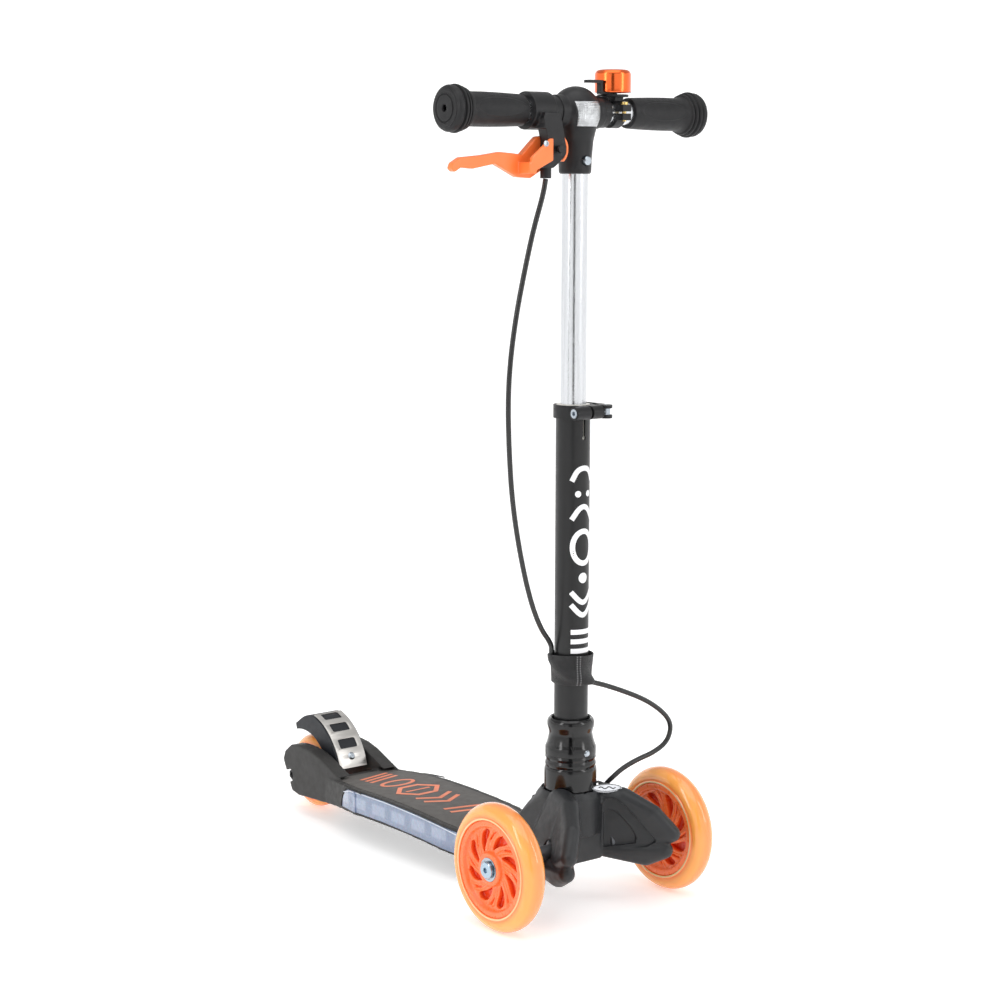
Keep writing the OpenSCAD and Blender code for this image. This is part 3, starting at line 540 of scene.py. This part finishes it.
def grip_finish():
    """Black rubber with a textured oval on top and a raised oval line on the front."""
    grip = Finish("grip_rubber", shade(20, 20, 22), drift=0.1, rough=0.5, grain=1300, relief=0.06,
                  Specular_IOR_Level=0.35)
    x, y, z = grip.axes((0, STEM_Y, BAR_Z))
    out = grip.maths("SUBTRACT", grip.maths("ABSOLUTE", x), 97)
    across = grip.maths("DIVIDE", y, 10.5)
    down = grip.maths("DIVIDE", grip.maths("SUBTRACT", z, 2), 9)
    along = grip.maths("DIVIDE", out, 31)

    def square(value):
        return grip.maths("MULTIPLY", value, value)

    top = grip.maths("SQRT", grip.maths("ADD", square(along), square(across)))
    on_top = grip.range(z, 6, 8, 0, 1)
    panel = grip.maths("MULTIPLY", grip.range(top, 0.94, 1.0, 1, 0), on_top)
    cells = grip.add("ShaderNodeTexVoronoi", feature="DISTANCE_TO_EDGE")
    cells.inputs["Scale"].default_value = 260
    grip.link(grip.place, cells.inputs["Vector"])
    grip.raise_by(grip.maths("MULTIPLY", panel, grip.range(cells.outputs[0], 0, 0.12, 0, 1)), 5)
    front = grip.maths("SQRT", grip.maths("ADD", square(along), square(down)))
    facing = grip.range(y, -9, -7, 1, 0)
    line = grip.maths("ABSOLUTE", grip.maths("SUBTRACT", front, 0.9))
    grip.raise_by(grip.maths("MULTIPLY", facing, grip.range(line, 0.03, 0.08, 1, 0)), 4)
    return grip.material


grip_rubber = grip_finish()


def strap_finish():
    """Black webbing; two rows of stitches run down by its end."""
    strap = Finish("strap_fabric", shade(20, 20, 22), drift=0.15, rough=0.8, grain=900,
                   relief=0.05, Sheen_Weight=0.25)
    x, y, z = strap.axes((0, STEM_Y, 0))
    angle = strap.maths("ARCTAN2", y, x)
    weave = strap.maths("MULTIPLY", strap.maths("SINE", strap.maths("MULTIPLY", angle, 170)),
                        strap.maths("SINE", strap.maths("MULTIPLY", z, 6.4)))
    strap.raise_by(weave, 2.4)
    turn = strap.maths("SUBTRACT", angle, math.radians(-110))
    for offset in (-0.075, 0.075):
        row = strap.maths("ABSOLUTE", strap.maths("SUBTRACT", turn, offset))
        dash = strap.maths("PINGPONG", z, 1.1)
        stitch = strap.maths("MULTIPLY", strap.range(row, 0.02, 0.035, 1, 0),
                             strap.range(dash, 0.35, 0.55, 0, 1))
        strap.recolour(strap.blend(stitch, strap.colour, shade(112, 112, 114)))
        strap.raise_by(stitch, 5)
    return strap.material


strap_fabric = strap_finish()

CAD_FINISH = {
    "deck_board": deck_plastic, "deck_grip_pad": deck_top, "deck_lens_right": lens_plastic,
    "deck_lens_left": lens_plastic, "deck_light_bars": light_bar, "battery_box": inner_plastic,
    "battery_door": inner_plastic, "head_core": gloss_black, "kingpin": steel,
    "steering_bushes": bush_rubber, "sleeve": gloss_black, "sleeve_button": steel,
    "lower_tube": black_paint, "stem_bush": bush_plastic, "height_collar": black_plastic,
    "collar_bolt": steel, "collar_lever": black_plastic, "cable_strap": strap_fabric,
    "upper_tube": bright_tube, "tube_foot": inner_plastic, "t_housing": black_plastic,
    "t_button": steel, "headlight_lens": lamp_lens, "bar_tube": bright_tube,
    "bar_collars": black_plastic, "grip_right": grip_rubber, "grip_left": grip_rubber,
    "lever_bracket": black_plastic, "brake_lever": lever_orange, "lever_screw": black_plastic,
    "cable_adjuster": black_plastic, "brake_cable_upper": cable_jacket,
    "brake_cable_lower": cable_jacket, "bell_clamp": black_plastic, "bell_base": black_plastic,
    "bell_dome": bell_orange, "bell_thumb_lever": black_plastic, "bell_screws": brass,
    "front_shell": cover_plastic, "front_base": cover_plastic, "shell_badge": badge_silver,
    # the rear axle gets painted shade: near-black for the dark of the recess in the deck bosses
    "axle_carrier": cast_metal, "front_axle_bolts": bolt_zinc, "rear_axle": seal_black_and_recess_shade,
    "rear_spacers": inner_plastic, "fender_brake": fender_plastic, "fender_plate": brake_plate,
    "fender_rivet": steel, "brake_pad": bush_rubber, "fender_pin": steel, "deck_screws": steel,
    "front_bearings_right": steel, "front_bearings_left": steel, "rear_bearings": steel,
}
for name, material in CAD_FINISH.items():
    nodes[name].data.materials.clear()
    nodes[name].data.materials.append(material)


# ---------- brake cable and its strap ----------

UPPER_ROUTE = [
    (-48, -209, 684.4), (-51, -209, 670), (-61, -208, 640), (-70, -207, 604), (-78, -205, 564),
    (-83, -203, 524), (-84, -201, 486), (-81, -199, 443), (-75, -196, 397), (-65, -194, 350),
    (-50, -191, 302), (-34, -188, 270), (-18.5, -186, 253), (-18.5, -186, 244),
]
STRAP_ROUTE = [
    (-18.5, -186, 244), (-18.5, -186, 239), (-19, -197, 232), (-14, -206.5, 226.5),
    (-6, -211.5, 222.5),
]
LOWER_ROUTE = [
    (7, -214, 218), (23, -215, 213), (46, -216, 204), (71, -217, 193), (90, -218, 181),
    (103, -218, 169), (107, -217, 158), (103, -215, 145), (88, -213, 137), (70, -211, 133),
    (53, -209, 127), (41, -208, 120), (35, -203, 112), (32, -200, 102),
]
CABLE = 4.8


def make_cable(name, route, body, node):
    line = rounded_line(route)
    piece = rod(name, line, CABLE / 2)
    piece.data.materials.clear()
    piece.data.materials.append(cable_jacket)
    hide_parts(node)
    if body:
        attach(piece, body)
    return piece


make_cable("brake-cable-lower", STRAP_ROUTE + LOWER_ROUTE, "deck_and_stem", "brake_cable_lower")
upper_cable = make_cable("brake-cable-upper", UPPER_ROUTE, None, "brake_cable_upper")
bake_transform(upper_cable)


def make_strap():
    """Webbing wrapped round the tube and over the cable, its end lapped at the front."""
    around, up = 112, 14
    start, turn = math.radians(-118), math.radians(388)
    low, high = 216, 243.6
    clear_bench()
    bpy.ops.mesh.primitive_grid_add(x_subdivisions=around, y_subdivisions=up, size=0.01)
    strap = bpy.context.object
    strap.name = "cable-strap"
    held = [(math.atan2(p.y - STEM_Y, p.x), math.hypot(p.x, p.y - STEM_Y), p.z)
            for p in rounded_line(STRAP_ROUTE + LOWER_ROUTE[:2], 3)]
    held = [spot for spot in held if spot[1] < 21.8]
    for j in range(up + 1):
        z = low + (high - low) * j / up
        for i in range(around + 1):
            s = i / around
            angle = start + turn * s
            radius = 18.1 + 1.7 * (j / up) ** 1.6 + 0.9 * (1 - s)
            radius += 0.25 * math.sin(3 * angle + z * 0.2) * (j / up)
            lift = 0
            for cable_angle, cable_radius, cable_z in held:
                apart = (angle - cable_angle + math.pi) % (2 * math.pi) - math.pi
                gap = math.hypot(apart * 20, z - cable_z)
                need = cable_radius + CABLE / 2 + 0.55 - radius
                lift = max(lift, need * math.exp(-(max(0, gap - 1.2) / 4.5) ** 2))
            radius += lift
            droop = 0.8 * math.sin(angle * 2) * (j / up - 0.5)
            strap.data.vertices[j * (around + 1) + i].co = (
                radius * math.cos(angle) * MM, (STEM_Y + radius * math.sin(angle)) * MM,
                (z + droop) * MM)
    modify(strap, "SOLIDIFY", thickness=0.8 * MM, offset=0)
    work_on(strap, face_outwards)
    modify(strap, "BEVEL", width=0.25 * MM, segments=2, limit_method="ANGLE")
    smooth(strap, 50)
    fit(strap, "deck_and_stem", "strap_fabric", strap_fabric, instead="cable_strap")


make_strap()


# ---------- wheels ----------

def clock(centre, radius, degrees, side):
    """A place round an axle, by clock angle as seen from outside."""
    c = math.radians(degrees)
    return (centre[1] + side * radius * math.sin(c), centre[2] + radius * math.cos(c))


def leaf(inner, outer, start, swirl, half_width, count=14):
    """A teardrop that leans round as it goes outwards: (radius, angle) pairs, tip first."""
    left, right = [], []
    for i in range(count + 1):
        t = i / count
        radius = inner + (outer - inner) * t
        angle = start + swirl * t ** 0.85
        width = half_width * 1.45 * t ** 0.85 * math.sqrt(max(0, 1 - t ** 5))
        spread = math.degrees(width / radius)
        left.append((radius - 0.6 * width * (1 - t), angle - spread))
        right.append((radius, angle + spread))
    return left + right[-2:0:-1]


def make_hub(name, centre, rim, windows, half_width):
    """A turned body with leaf pockets and curved ribs on both faces."""
    cx = centre[0]
    web = 7.6
    face = [(BEARING_SEAT, 12.4), (14.6, 12.4), (15.4, 11.6), (16.4, web + 0.8), (17.6, web),
            (rim - 8.4, web - 0.8), (rim - 6.8, web + 0.2), (rim - 5.4, 10.4), (rim - 4.6, 10.9),
            (rim - 0.1, 10.9)]
    profile = face + [(r, -x) for r, x in reversed(face)]
    hub = turned(name, profile, centre, steps=128)
    pitch = 360 / windows
    for side in (-1, 1):
        for i in range(windows):
            outline = [
                (cx + side * 1.2, *clock(centre, r, a, side))
                for r, a in leaf(17.0, rim - 8.0, i * pitch, 30, half_width)
            ]
            hub = cut(hub, plate("pocket", outline, (side * 14, 0, 0)))
            slit = [
                (cx + side * (web - 2.6), *clock(centre, r, a, side))
                for r, a in leaf(19.0, rim - 8.6, (i + 0.5) * pitch, 30, half_width * 0.17)
            ]
            hub = cut(hub, plate("slit", slit, (side * 9, 0, 0)))
    ribs = []
    for side in (-1, 1):
        for i in range(windows):
            for offset, reach in ((0.38, 0.96), (0.62, 1.0)):
                line = []
                for k in range(9):
                    t = k / 8
                    radius = 16.2 + (rim - 7.2 - 16.2) * t * reach
                    angle = (i + offset) * pitch + 30 * t ** 0.85
                    depth = cx + side * (web + 0.2 - 0.8 * t)
                    line.append((depth, *clock(centre, radius, angle, side)))
                ribs.append(rod("rib", [Vector(p) for p in line], 1.0,
                                taper=[0.7, 0.9, 1, 1, 1, 1, 1, 0.9, 0.7], sides=2))
    hub = join(hub, *ribs)
    return soften(hub, 0.55 if rim == FRONT_RIM else 0.5, 2, keep=0.45)


def make_tyre(name, centre, radius, bore):
    """Cast tyre: a round crown and a bead by the rim."""
    deep, half_width = 13, 12.15
    crown = [
        (radius - deep + deep * math.cos(math.radians(a)), half_width * math.sin(math.radians(a)))
        for a in range(-66, 67, 6)
    ]
    lip = [(bore, -11.0), (bore + 0.4, -11.7), (bore + 1.3, -12.0), (bore + 2.2, -11.7),
           (bore + 2.8, -11.15), (bore + 3.8, -11.2)]
    profile = lip + crown + [(r, -x) for r, x in reversed(lip)]
    tyre = turned(name, profile, centre, steps=144)
    return smooth(tyre, 60)


def fit_wheel(hub, tyre, body, hub_node, tyre_node, hub_look, tyre_look):
    fit(hub, body, "hub_orange", hub_look, instead=hub_node)
    fit(tyre, body, "tyre_orange", tyre_look, instead=tyre_node)


def make_front_wheels():
    centre = (-FRONT_X, *FRONT_AXLE)
    hub = make_hub("front-hub-right", centre, FRONT_RIM, 8, 6.3)
    tyre = make_tyre("front-tyre-right", centre, FRONT_RADIUS, FRONT_RIM)
    fit_wheel(twin(hub, "front-hub-left", flip=True), twin(tyre, "front-tyre-left", flip=True),
              "wheel_front_left", "front_hub_left", "front_tyre_left",
              hub_finish("hub_left", FRONT_X),
              tyre_finish("tyre_left", FRONT_AXLE, FRONT_RADIUS, FRONT_RIM))
    fit_wheel(hub, tyre, "wheel_front_right", "front_hub_right", "front_tyre_right",
              hub_finish("hub_right", -FRONT_X),
              tyre_finish("tyre_right", FRONT_AXLE, FRONT_RADIUS, FRONT_RIM))


def make_rear_wheel():
    centre = (0, *REAR_AXLE)
    hub = make_hub("rear-hub", centre, REAR_RIM, 6, 1.6)
    tyre = make_tyre("rear-tyre", centre, REAR_RADIUS, REAR_RIM)
    fit_wheel(hub, tyre, "wheel_rear", "rear_hub", "rear_tyre", hub_finish("hub_rear", 0),
              tyre_finish("tyre_rear", REAR_AXLE, REAR_RADIUS, REAR_RIM))


make_front_wheels()
make_rear_wheel()


# ---------- front cover ----------

def make_cover():
    """The moulded cover in one piece: a flat nose, and a stepped recess in each cheek."""
    cover = taken("front_shell")
    along, inwards = Vector((0.7071, -0.7071, 0)), Vector((0.7071, 0.7071, 0))
    corner = Vector((15.2, -219.4, 0))

    def on_face(outline, depth):
        return [corner + along * s + inwards * depth + Vector((0, 0, z)) for s, z in outline]

    rim = [(1, 53.5), (1, 99), (3.5, 104), (9, 106), (15, 105), (21.4, 101.5), (28, 95.5),
           (35.7, 87.5), (45, 76), (51, 69.5), (53, 66.5), (50, 63.5), (44, 60), (30, 58),
           (14, 56)]
    floor = [(2.5, 57), (2.5, 90), (8, 94), (15, 92), (22, 85), (29, 77), (34, 68), (33, 62),
             (22, 60), (10, 58.5)]
    backing, recess = [], []
    for flip in (False, True):
        block = plate("backing", on_face(rim, 1.6), inwards * 7.5)
        tools = [plate("recess", on_face(rim, -14), inwards * 16.5),
                 plate("recess", on_face(floor, -14), inwards * 20)]
        if flip:
            for piece in (block, *tools):
                piece.data.transform(FLIP)
                work_on(piece, face_outwards)
        backing.append(block)
        recess += tools
    backing.append(plate("nose", [(-16, -219.2, 46.6), (16, -219.2, 46.6), (15.6, -219.2, 76),
                                  (-15.6, -219.2, 76)], (0, 3.6, 0)))
    cover = join(cover, *backing)
    cover = join(cover, taken("front_base"))
    modify(cover, "REMESH", mode="VOXEL", voxel_size=1.0 * MM)
    for tool in recess:
        cut(cover, tool)
    for x in (46, -86):
        line = [(x, -300, 61.6), (x, -180, 61.6), (x, -180, 62.4), (x, -300, 62.4)]
        cut(cover, plate("parting-line", line, (40, 0, 0)))
    soften(cover, 0.85, 4, keep=0.6)
    fit(cover, "front_truck", "shell_plastic", cover_plastic,
        instead=("front_shell", "front_base"))


make_cover()


# ---------- softened castings ----------

def softened(node, body, slot, look, voxel, rounds, keep=1.0):
    piece = taken(node)
    soften(piece, voxel, rounds, keep)
    return fit(piece, body, slot, look, instead=node)


softened("t_housing", "handlebar", "black_plastic", black_plastic, 0.6, 8, 0.6)


def make_lever():
    """The brake lever: its root is cut back in front and gets a rim round the pivot."""
    lever = taken("brake_lever")
    room = [(-46.6, -240, 680), (-10, -240, 680), (-10, -240, 740), (-46.6, -240, 740)]
    cut(lever, plate("room", room, (0, 25.2, 0)))
    pivot_x, pivot_z = -39, 711
    rim = []
    for radius, sweep in ((14.4, range(-52, 63, 6)), (11.8, range(62, -53, -6))):
        for a in (math.radians(degrees) for degrees in sweep):
            rim.append((pivot_x + radius * math.cos(a), -213, pivot_z + radius * math.sin(a)))
    lever = join(lever, plate("rim", rim, (0, 14, 0)))
    soften(lever, 0.5, 9, 0.7)
    fit(lever, "brake_handle", "lever_orange", lever_orange, instead="brake_lever")
    screw = turned("lever-root-screw", [(0, 0), (2.7, 0), (2.9, -0.5), (2.5, -1.1), (1.6, -1.2),
                                        (1.5, -0.6), (0, -0.6)], (-55.5, -218.2, 715.5), "Y", 48)
    fit(screw, "brake_handle", "steel", steel)


make_lever()
softened("lever_bracket", "handlebar", "black_plastic", black_plastic, 0.5, 7, 0.6)


def make_deck():
    """The moulded deck, with a boss round each end of the rear axle."""
    deck = taken("deck_board")
    bosses = [
        turned("boss", [(6.6, side * 24), (9.4, side * 24), (9.6, side * 29.6), (8.6, side * 30.6),
                        (6.6, side * 30.6)], (0, *REAR_AXLE), "X", 48)
        for side in (-1, 1)
    ]
    deck = join(deck, *bosses)
    soften(deck, 1.1, 4, 0.6)
    fit(deck, "deck_and_stem", "deck_plastic", deck_plastic, instead="deck_board")


make_deck()
softened("fender_brake", "fender", "fender_plastic", fender_plastic, 0.6, 3, 0.6)
softened("collar_lever", "quick_lever", "black_plastic", black_plastic, 0.3, 4, 0.6)
softened("height_collar", "deck_and_stem", "black_plastic", black_plastic, 0.35, 2, 0.5)


def round_off(node, body, slot, look, width, segments=3):
    """A CAD piece with its sharp corners taken off."""
    piece = taken(node)
    modify(piece, "BEVEL", width=width * MM, segments=segments, limit_method="ANGLE",
           angle_limit=math.radians(35), use_clamp_overlap=True)
    smooth(piece, 35)
    return fit(piece, body, slot, look, instead=node)


round_off("fender_plate", "fender", "brake_plate", brake_plate, 0.3, 2)
round_off("headlight_lens", "handlebar", "lens_plastic", lamp_lens, 0.6)
round_off("deck_lens_right", "deck_and_stem", "lens_plastic", lens_plastic, 0.8)
round_off("deck_lens_left", "deck_and_stem", "lens_plastic", lens_plastic, 0.8)
round_off("front_axle_bolts", "front_truck", "steel", bolt_zinc, 0.3)


def make_head():
    """The neck under the sleeve; its web slopes down towards the deck."""
    head = taken("head_core")
    slope = [(-30, -166, 130), (-30, -120, 130), (-30, -120, 70), (-30, -148, 84)]
    cut(head, plate("slope", slope, (60, 0, 0)))
    soften(head, 0.7, 4, keep=0.6)
    fit(head, "deck_and_stem", "gloss_black", cover_plastic, instead="head_core")


def make_sleeve():
    """The turned sleeve with its parting rib and the mark below it."""
    sleeve = taken("sleeve")
    smooth(sleeve, 35)
    facing = math.radians(-124)

    def on_sleeve(turn, z):
        radius = 20.9 + 3.2 * max(0, min(1, (168 - z) / 14)) ** 1.2
        angle = facing + turn
        return Vector((radius * math.cos(angle), STEM_Y + radius * math.sin(angle), z))

    lines = [rod("rib", [on_sleeve(0, 170 - 2 * i) for i in range(10)], 0.55, sides=2)]
    for side in (-1, 1):
        lines.append(rod("mark", [on_sleeve(side * (0.10 - 0.02 * i), 158 - 1.1 * i)
                                  for i in range(5)], 0.5, sides=2))
    fit(join(sleeve, *lines), "deck_and_stem", "gloss_black", gloss_black, instead="sleeve")


def make_bell():
    """The spun dome, open below."""
    def arc(radius):
        return [(12 + radius * math.cos(a), 16 + radius * math.sin(a))
                for a in [math.radians(10 * i) for i in range(10)]]
    outside = [(16.8, 0), (17.0, 0.5), (16.8, 1.0), (16.8, 8)] + arc(4.8) + [(6, 20.9), (0, 21)]
    inside = [(0, 19.6), (6, 19.6)] + arc(3.6)[::-1] + [(15.6, 8), (15.6, 0)]
    dome = turned("bell-dome", outside + inside, (45, STEM_Y, 763.3), "Z", 96)
    fit(smooth(dome, 40), "handlebar", "bell_orange", bell_orange, instead="bell_dome")


def make_grips():
    """Rubber grips: a swelling barrel, three ridges and a wide flange with a grooved end."""
    flange = (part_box("grip_left")[1].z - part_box("grip_left")[0].z) / 2 / MM
    for node, inner, side in (("grip_left", 62, 1), ("grip_right", 64, -1)):
        profile = [(11.03, inner), (13.2, inner), (13.9, inner + 0.6), (14.2, inner + 3)]
        profile += [(14.2 + 1.2 * math.sin(math.pi * 0.62 * i / 8),
                     inner + 3 + (120 - inner) * i / 8) for i in range(1, 9)]
        profile += [(15.6, 126), (16.6, 128.4)]
        for start, radius in ((129.4, 18.6), (133.2, 20.0), (137.0, 21.2)):
            profile += [(radius - 1.8, start), (radius, start + 0.9), (radius + 0.1, start + 1.8),
                        (radius, start + 2.6), (radius - 1.8, start + 3.2)]
        profile += [(flange - 1.2, 141.2), (flange, 142.6), (flange, 145.0),
                    (flange - 1.0, 147.2), (flange - 3.5, 148.6), (17, 149.2), (13.2, 149.5),
                    (12.6, 148.7), (11.8, 148.7), (11.2, 149.6), (6, 150), (3.4, 149.9),
                    (3, 149.2), (3, 147.05), (11.03, 147.05)]
        grip = turned(node.replace("_", "-"), [(r, side * x) for r, x in profile],
                      (0, STEM_Y, BAR_Z), "X", 96)
        fit(smooth(grip, 50), "handlebar", "grip_rubber", grip_rubber, instead=node)


def oval(cx, cy, rx, ry, count=40):
    return [(cx + rx * math.cos(a), cy + ry * math.sin(a))
            for a in (2 * math.pi * i / count for i in range(count))]


def fill(points, pieces=4):
    """Adds points along straight sides so that a stroke can follow a curved face."""
    line = [Vector(points[0])]
    for a, b in zip(points, points[1:]):
        line += [Vector(a).lerp(Vector(b), (i + 1) / pieces) for i in range(pieces)]
    return line


def print_deck():
    """Generic stripes, rings and chevrons printed along the deck."""
    def lay(u, v):
        return u, v, 57.6 - (v - 40) ** 2 / 2600 + 0.27
    marks = [stroke("mark", fill([(-20, y), (20, y + 9)], 8), 4.2, lay) for y in (106, 115, 124)]
    marks.append(stroke("mark", oval(0, 86, 19, 9.5), 4.2, lay, closed=True))
    diamond = [(-25, 50), (-11, 66), (11, 66), (25, 50), (11, 34), (-11, 34)]
    marks.append(stroke("mark", fill(diamond + diamond[:1], 4)[:-1], 5.0, lay, closed=True))
    marks.append(stroke("mark", fill([(-15, 50), (15, 50)], 6), 3.0, lay))
    for y in (20, 6):
        marks.append(stroke("mark", fill([(-22, y + 4), (0, y - 8), (22, y + 4)], 6), 4.6, lay))
    marks += [stroke("mark", fill([(-20, y + 9), (20, y)], 8), 4.2, lay) for y in (-30, -41)]
    fit(join(*marks), "deck_and_stem", "deck_pad", deck_print).name = "deck-print"


def print_tube():
    """Generic rings, bars and dots printed up the front of the lower tube."""
    radius = (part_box("lower_tube")[1].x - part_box("lower_tube")[0].x) / 2 / MM

    def lay(u, v):
        angle = math.radians(-90) + u / radius
        return (radius + 0.12) * math.cos(angle), STEM_Y + (radius + 0.12) * math.sin(angle), v

    def bend(ends, middle, flat):
        """A stroke across the tube that rises or falls from its ends to a flat middle."""
        line = [(-12, ends), (-flat, middle), (flat, middle), (12, ends)]
        return stroke("mark", rounded_line(line, 3), 4.8, lay)

    marks = [stroke("mark", fill([(-12, z), (12, z)], 10), 4.6, lay) for z in (248, 257, 266)]
    marks += [bend(292, 282, 3), bend(304, 294, 3)]
    marks.append(stroke("mark", oval(0, 317, 2.6, 2.6, 16), 4.6, lay, closed=True))
    marks.append(stroke("mark", oval(0, 346, 11, 15), 5.0, lay, closed=True))
    marks.append(bend(372, 384, 4))
    for u in (-6, 6):
        marks.append(stroke("mark", oval(u, 396, 1.6, 1.6, 12), 2.8, lay, closed=True))
    marks.append(bend(408, 420, 6))
    fit(join(*marks), "deck_and_stem", "painted_tube", tube_print).name = "tube-print"


def make_badge():
    """An oval plate on the cover, with a border and a plain wave."""
    turn = Matrix.Rotation(math.radians(-32), 3, "Z") @ Matrix.Rotation(math.radians(45), 3, "X")
    middle = Vector((20.0, -222.8, 114.6))

    def lay(u, v, lift=2.1):
        return tuple(middle + turn @ Vector((u, v, lift)))
    badge = plate("shell-badge", [lay(u, v, -0.6) for u, v in oval(0, 0, 14.4, 4.4, 64)],
                  turn @ Vector((0, 0, 2.6)))
    modify(badge, "BEVEL", width=0.5 * MM, segments=3, limit_method="ANGLE")
    fit(smooth(badge, 40), "front_truck", "badge_plastic", badge_silver, instead="shell_badge")
    border = stroke("border", oval(0, 0, 13.2, 3.7, 48), 0.45, lay, closed=True, thick=0.2)
    wave = stroke("wave", [(-8 + 0.5 * i, math.sin(0.5 * i * 0.8)) for i in range(33)], 0.9, lay,
                  thick=0.2)
    fit(join(border, wave), "front_truck", "badge_plastic", inner_plastic).name = "badge-mark"


def trim_lens():
    """Each light strip's rounded tail, its pale top line and the dark seal round its rear end."""
    rounded_tail = [(-4, 32.4), (29, 31.4), (27.5, 38), (24.5, 44.5), (20, 49.6), (14, 52.6),
                    (7, 53.9), (-4, 54.6)]
    top = [(-96, 47.2), (-78, 49.0), (-51, 51.2), (-15, 53.2), (16, 54.2), (40, 54.6), (80, 54.0),
           (102, 53.0), (113, 50.2)]
    seal_route = [(-20, 56.3), (0, 55.9), (12, 54.9), (20, 52.3), (27, 45), (31, 31.0)]
    for side, name in ((-1, "right"), (1, "left")):
        def at_tail(s, z, lift=0.35):
            return (side * (50.0 - 0.187 * s + 0.982 * lift), 95.5 + 0.982 * s + 0.187 * lift, z)
        tail = plate(f"lens-tail-{name}", [at_tail(s, z) for s, z in rounded_tail],
                     (side * -1.6, 0, 0))
        modify(tail, "BEVEL", width=0.3 * MM, segments=2, limit_method="ANGLE")
        fit(smooth(tail, 35), "deck_and_stem", "lens_plastic", lens_plastic)
        seal = rounded_line([at_tail(s, z, 0.2) for s, z in seal_route], 2)
        rim = rod(f"lens-rim-{name}", [Vector((side * 49.95, y, z)) for y, z in top], 0.55,
                  sides=3)
        fit(rim, "deck_and_stem", "lens_plastic", light_bar)
        gasket = rod(f"lens-seal-{name}", seal, 0.6, sides=3)
        fit(gasket, "deck_and_stem", "inner_plastic", seal_black_and_recess_shade)


make_head()
make_sleeve()
make_bell()
make_grips()
print_deck()
print_tube()
make_badge()
trim_lens()


# ---------- camera, floor and light ----------

def set_camera():
    """A long lens in front of the right-hand side, looking slightly down."""
    heading, dip, roll = math.radians(-38.606), math.radians(8.112), -0.003024
    place = (-1.34012, -1.76317, 0.68230)
    level = Matrix.Rotation(heading, 3, "Z")
    forward = level @ Vector((0, math.cos(dip), -math.sin(dip)))
    right = level @ Vector((1, 0, 0))
    up = right.cross(forward)
    turn = Matrix.Rotation(roll, 3, forward)
    right, up = turn @ right, turn @ up
    lens = bpy.data.cameras.new("camera")
    lens.lens, lens.sensor_width = 80.51, 36
    camera = bpy.data.objects.new("camera", lens)
    bpy.context.scene.collection.objects.link(camera)
    facing = Matrix((right, up, -forward)).transposed().to_4x4()
    camera.matrix_world = Matrix.Translation(place) @ facing
    bpy.context.scene.camera = camera


def area_light(name, place, aim, size, power):
    light = bpy.data.lights.new(name, "AREA")
    light.shape, light.size, light.size_y, light.energy = "RECTANGLE", size[0], size[1], power
    lamp = bpy.data.objects.new(name, light)
    bpy.context.scene.collection.objects.link(lamp)
    lamp.location = place
    lamp.rotation_euler = (Vector(aim) - Vector(place)).to_track_quat("-Z", "Y").to_euler()


def set_studio():
    """A white sweep that glows a little, a dark flag behind the camera and three lights."""
    sweep = turned("studio_floor", [(0, 0), (2500, 0), (5200, 0), (6200, 240), (6900, 1000),
                                    (7100, 3200)], axis="Z", steps=64, shut=False)
    smooth(sweep, 60)
    sweep.data.materials.append(
        plain("studio_white", shade(250, 250, 250), drift=0.004, rough=0.5, relief=0.0, patch=0.4))
    shine = sweep.data.materials[0].node_tree.nodes["Principled BSDF"]
    shine.inputs["Emission Color"].default_value = (1, 1, 1, 1)
    shine.inputs["Emission Strength"].default_value = 0.36
    clear_bench()
    bpy.ops.mesh.primitive_plane_add(size=1, location=(-1.98, -2.48, 0.9))
    flag = bpy.context.object
    flag.name = "studio_flag"
    flag.scale = (0.9, 2.6, 1)
    flag.rotation_euler = (math.radians(90), 0, math.radians(-38.6))
    flag.data.materials.append(plain("flag_black", shade(20, 20, 20), rough=0.9, relief=0.0))
    flag.visible_camera = flag.visible_shadow = False
    world = bpy.data.worlds.new("studio")
    bpy.context.scene.world = world
    world.use_nodes = True
    world.node_tree.nodes["Background"].inputs["Color"].default_value = (1, 1, 1, 1)
    world.node_tree.nodes["Background"].inputs["Strength"].default_value = 0.62
    area_light("top_softbox", (-0.4, -0.6, 2.6), (0, 0, 0.2), (2.4, 2.4), 26)
    area_light("left_strip", (-2.2, -0.2, 1.5), (0, 0, 0.4), (0.5, 1.8), 13)
    area_light("right_strip", (1.0, -2.4, 1.5), (0, 0, 0.4), (0.5, 1.8), 12)


set_camera()
set_studio()
bpy.context.scene.view_settings.view_transform = "Standard"
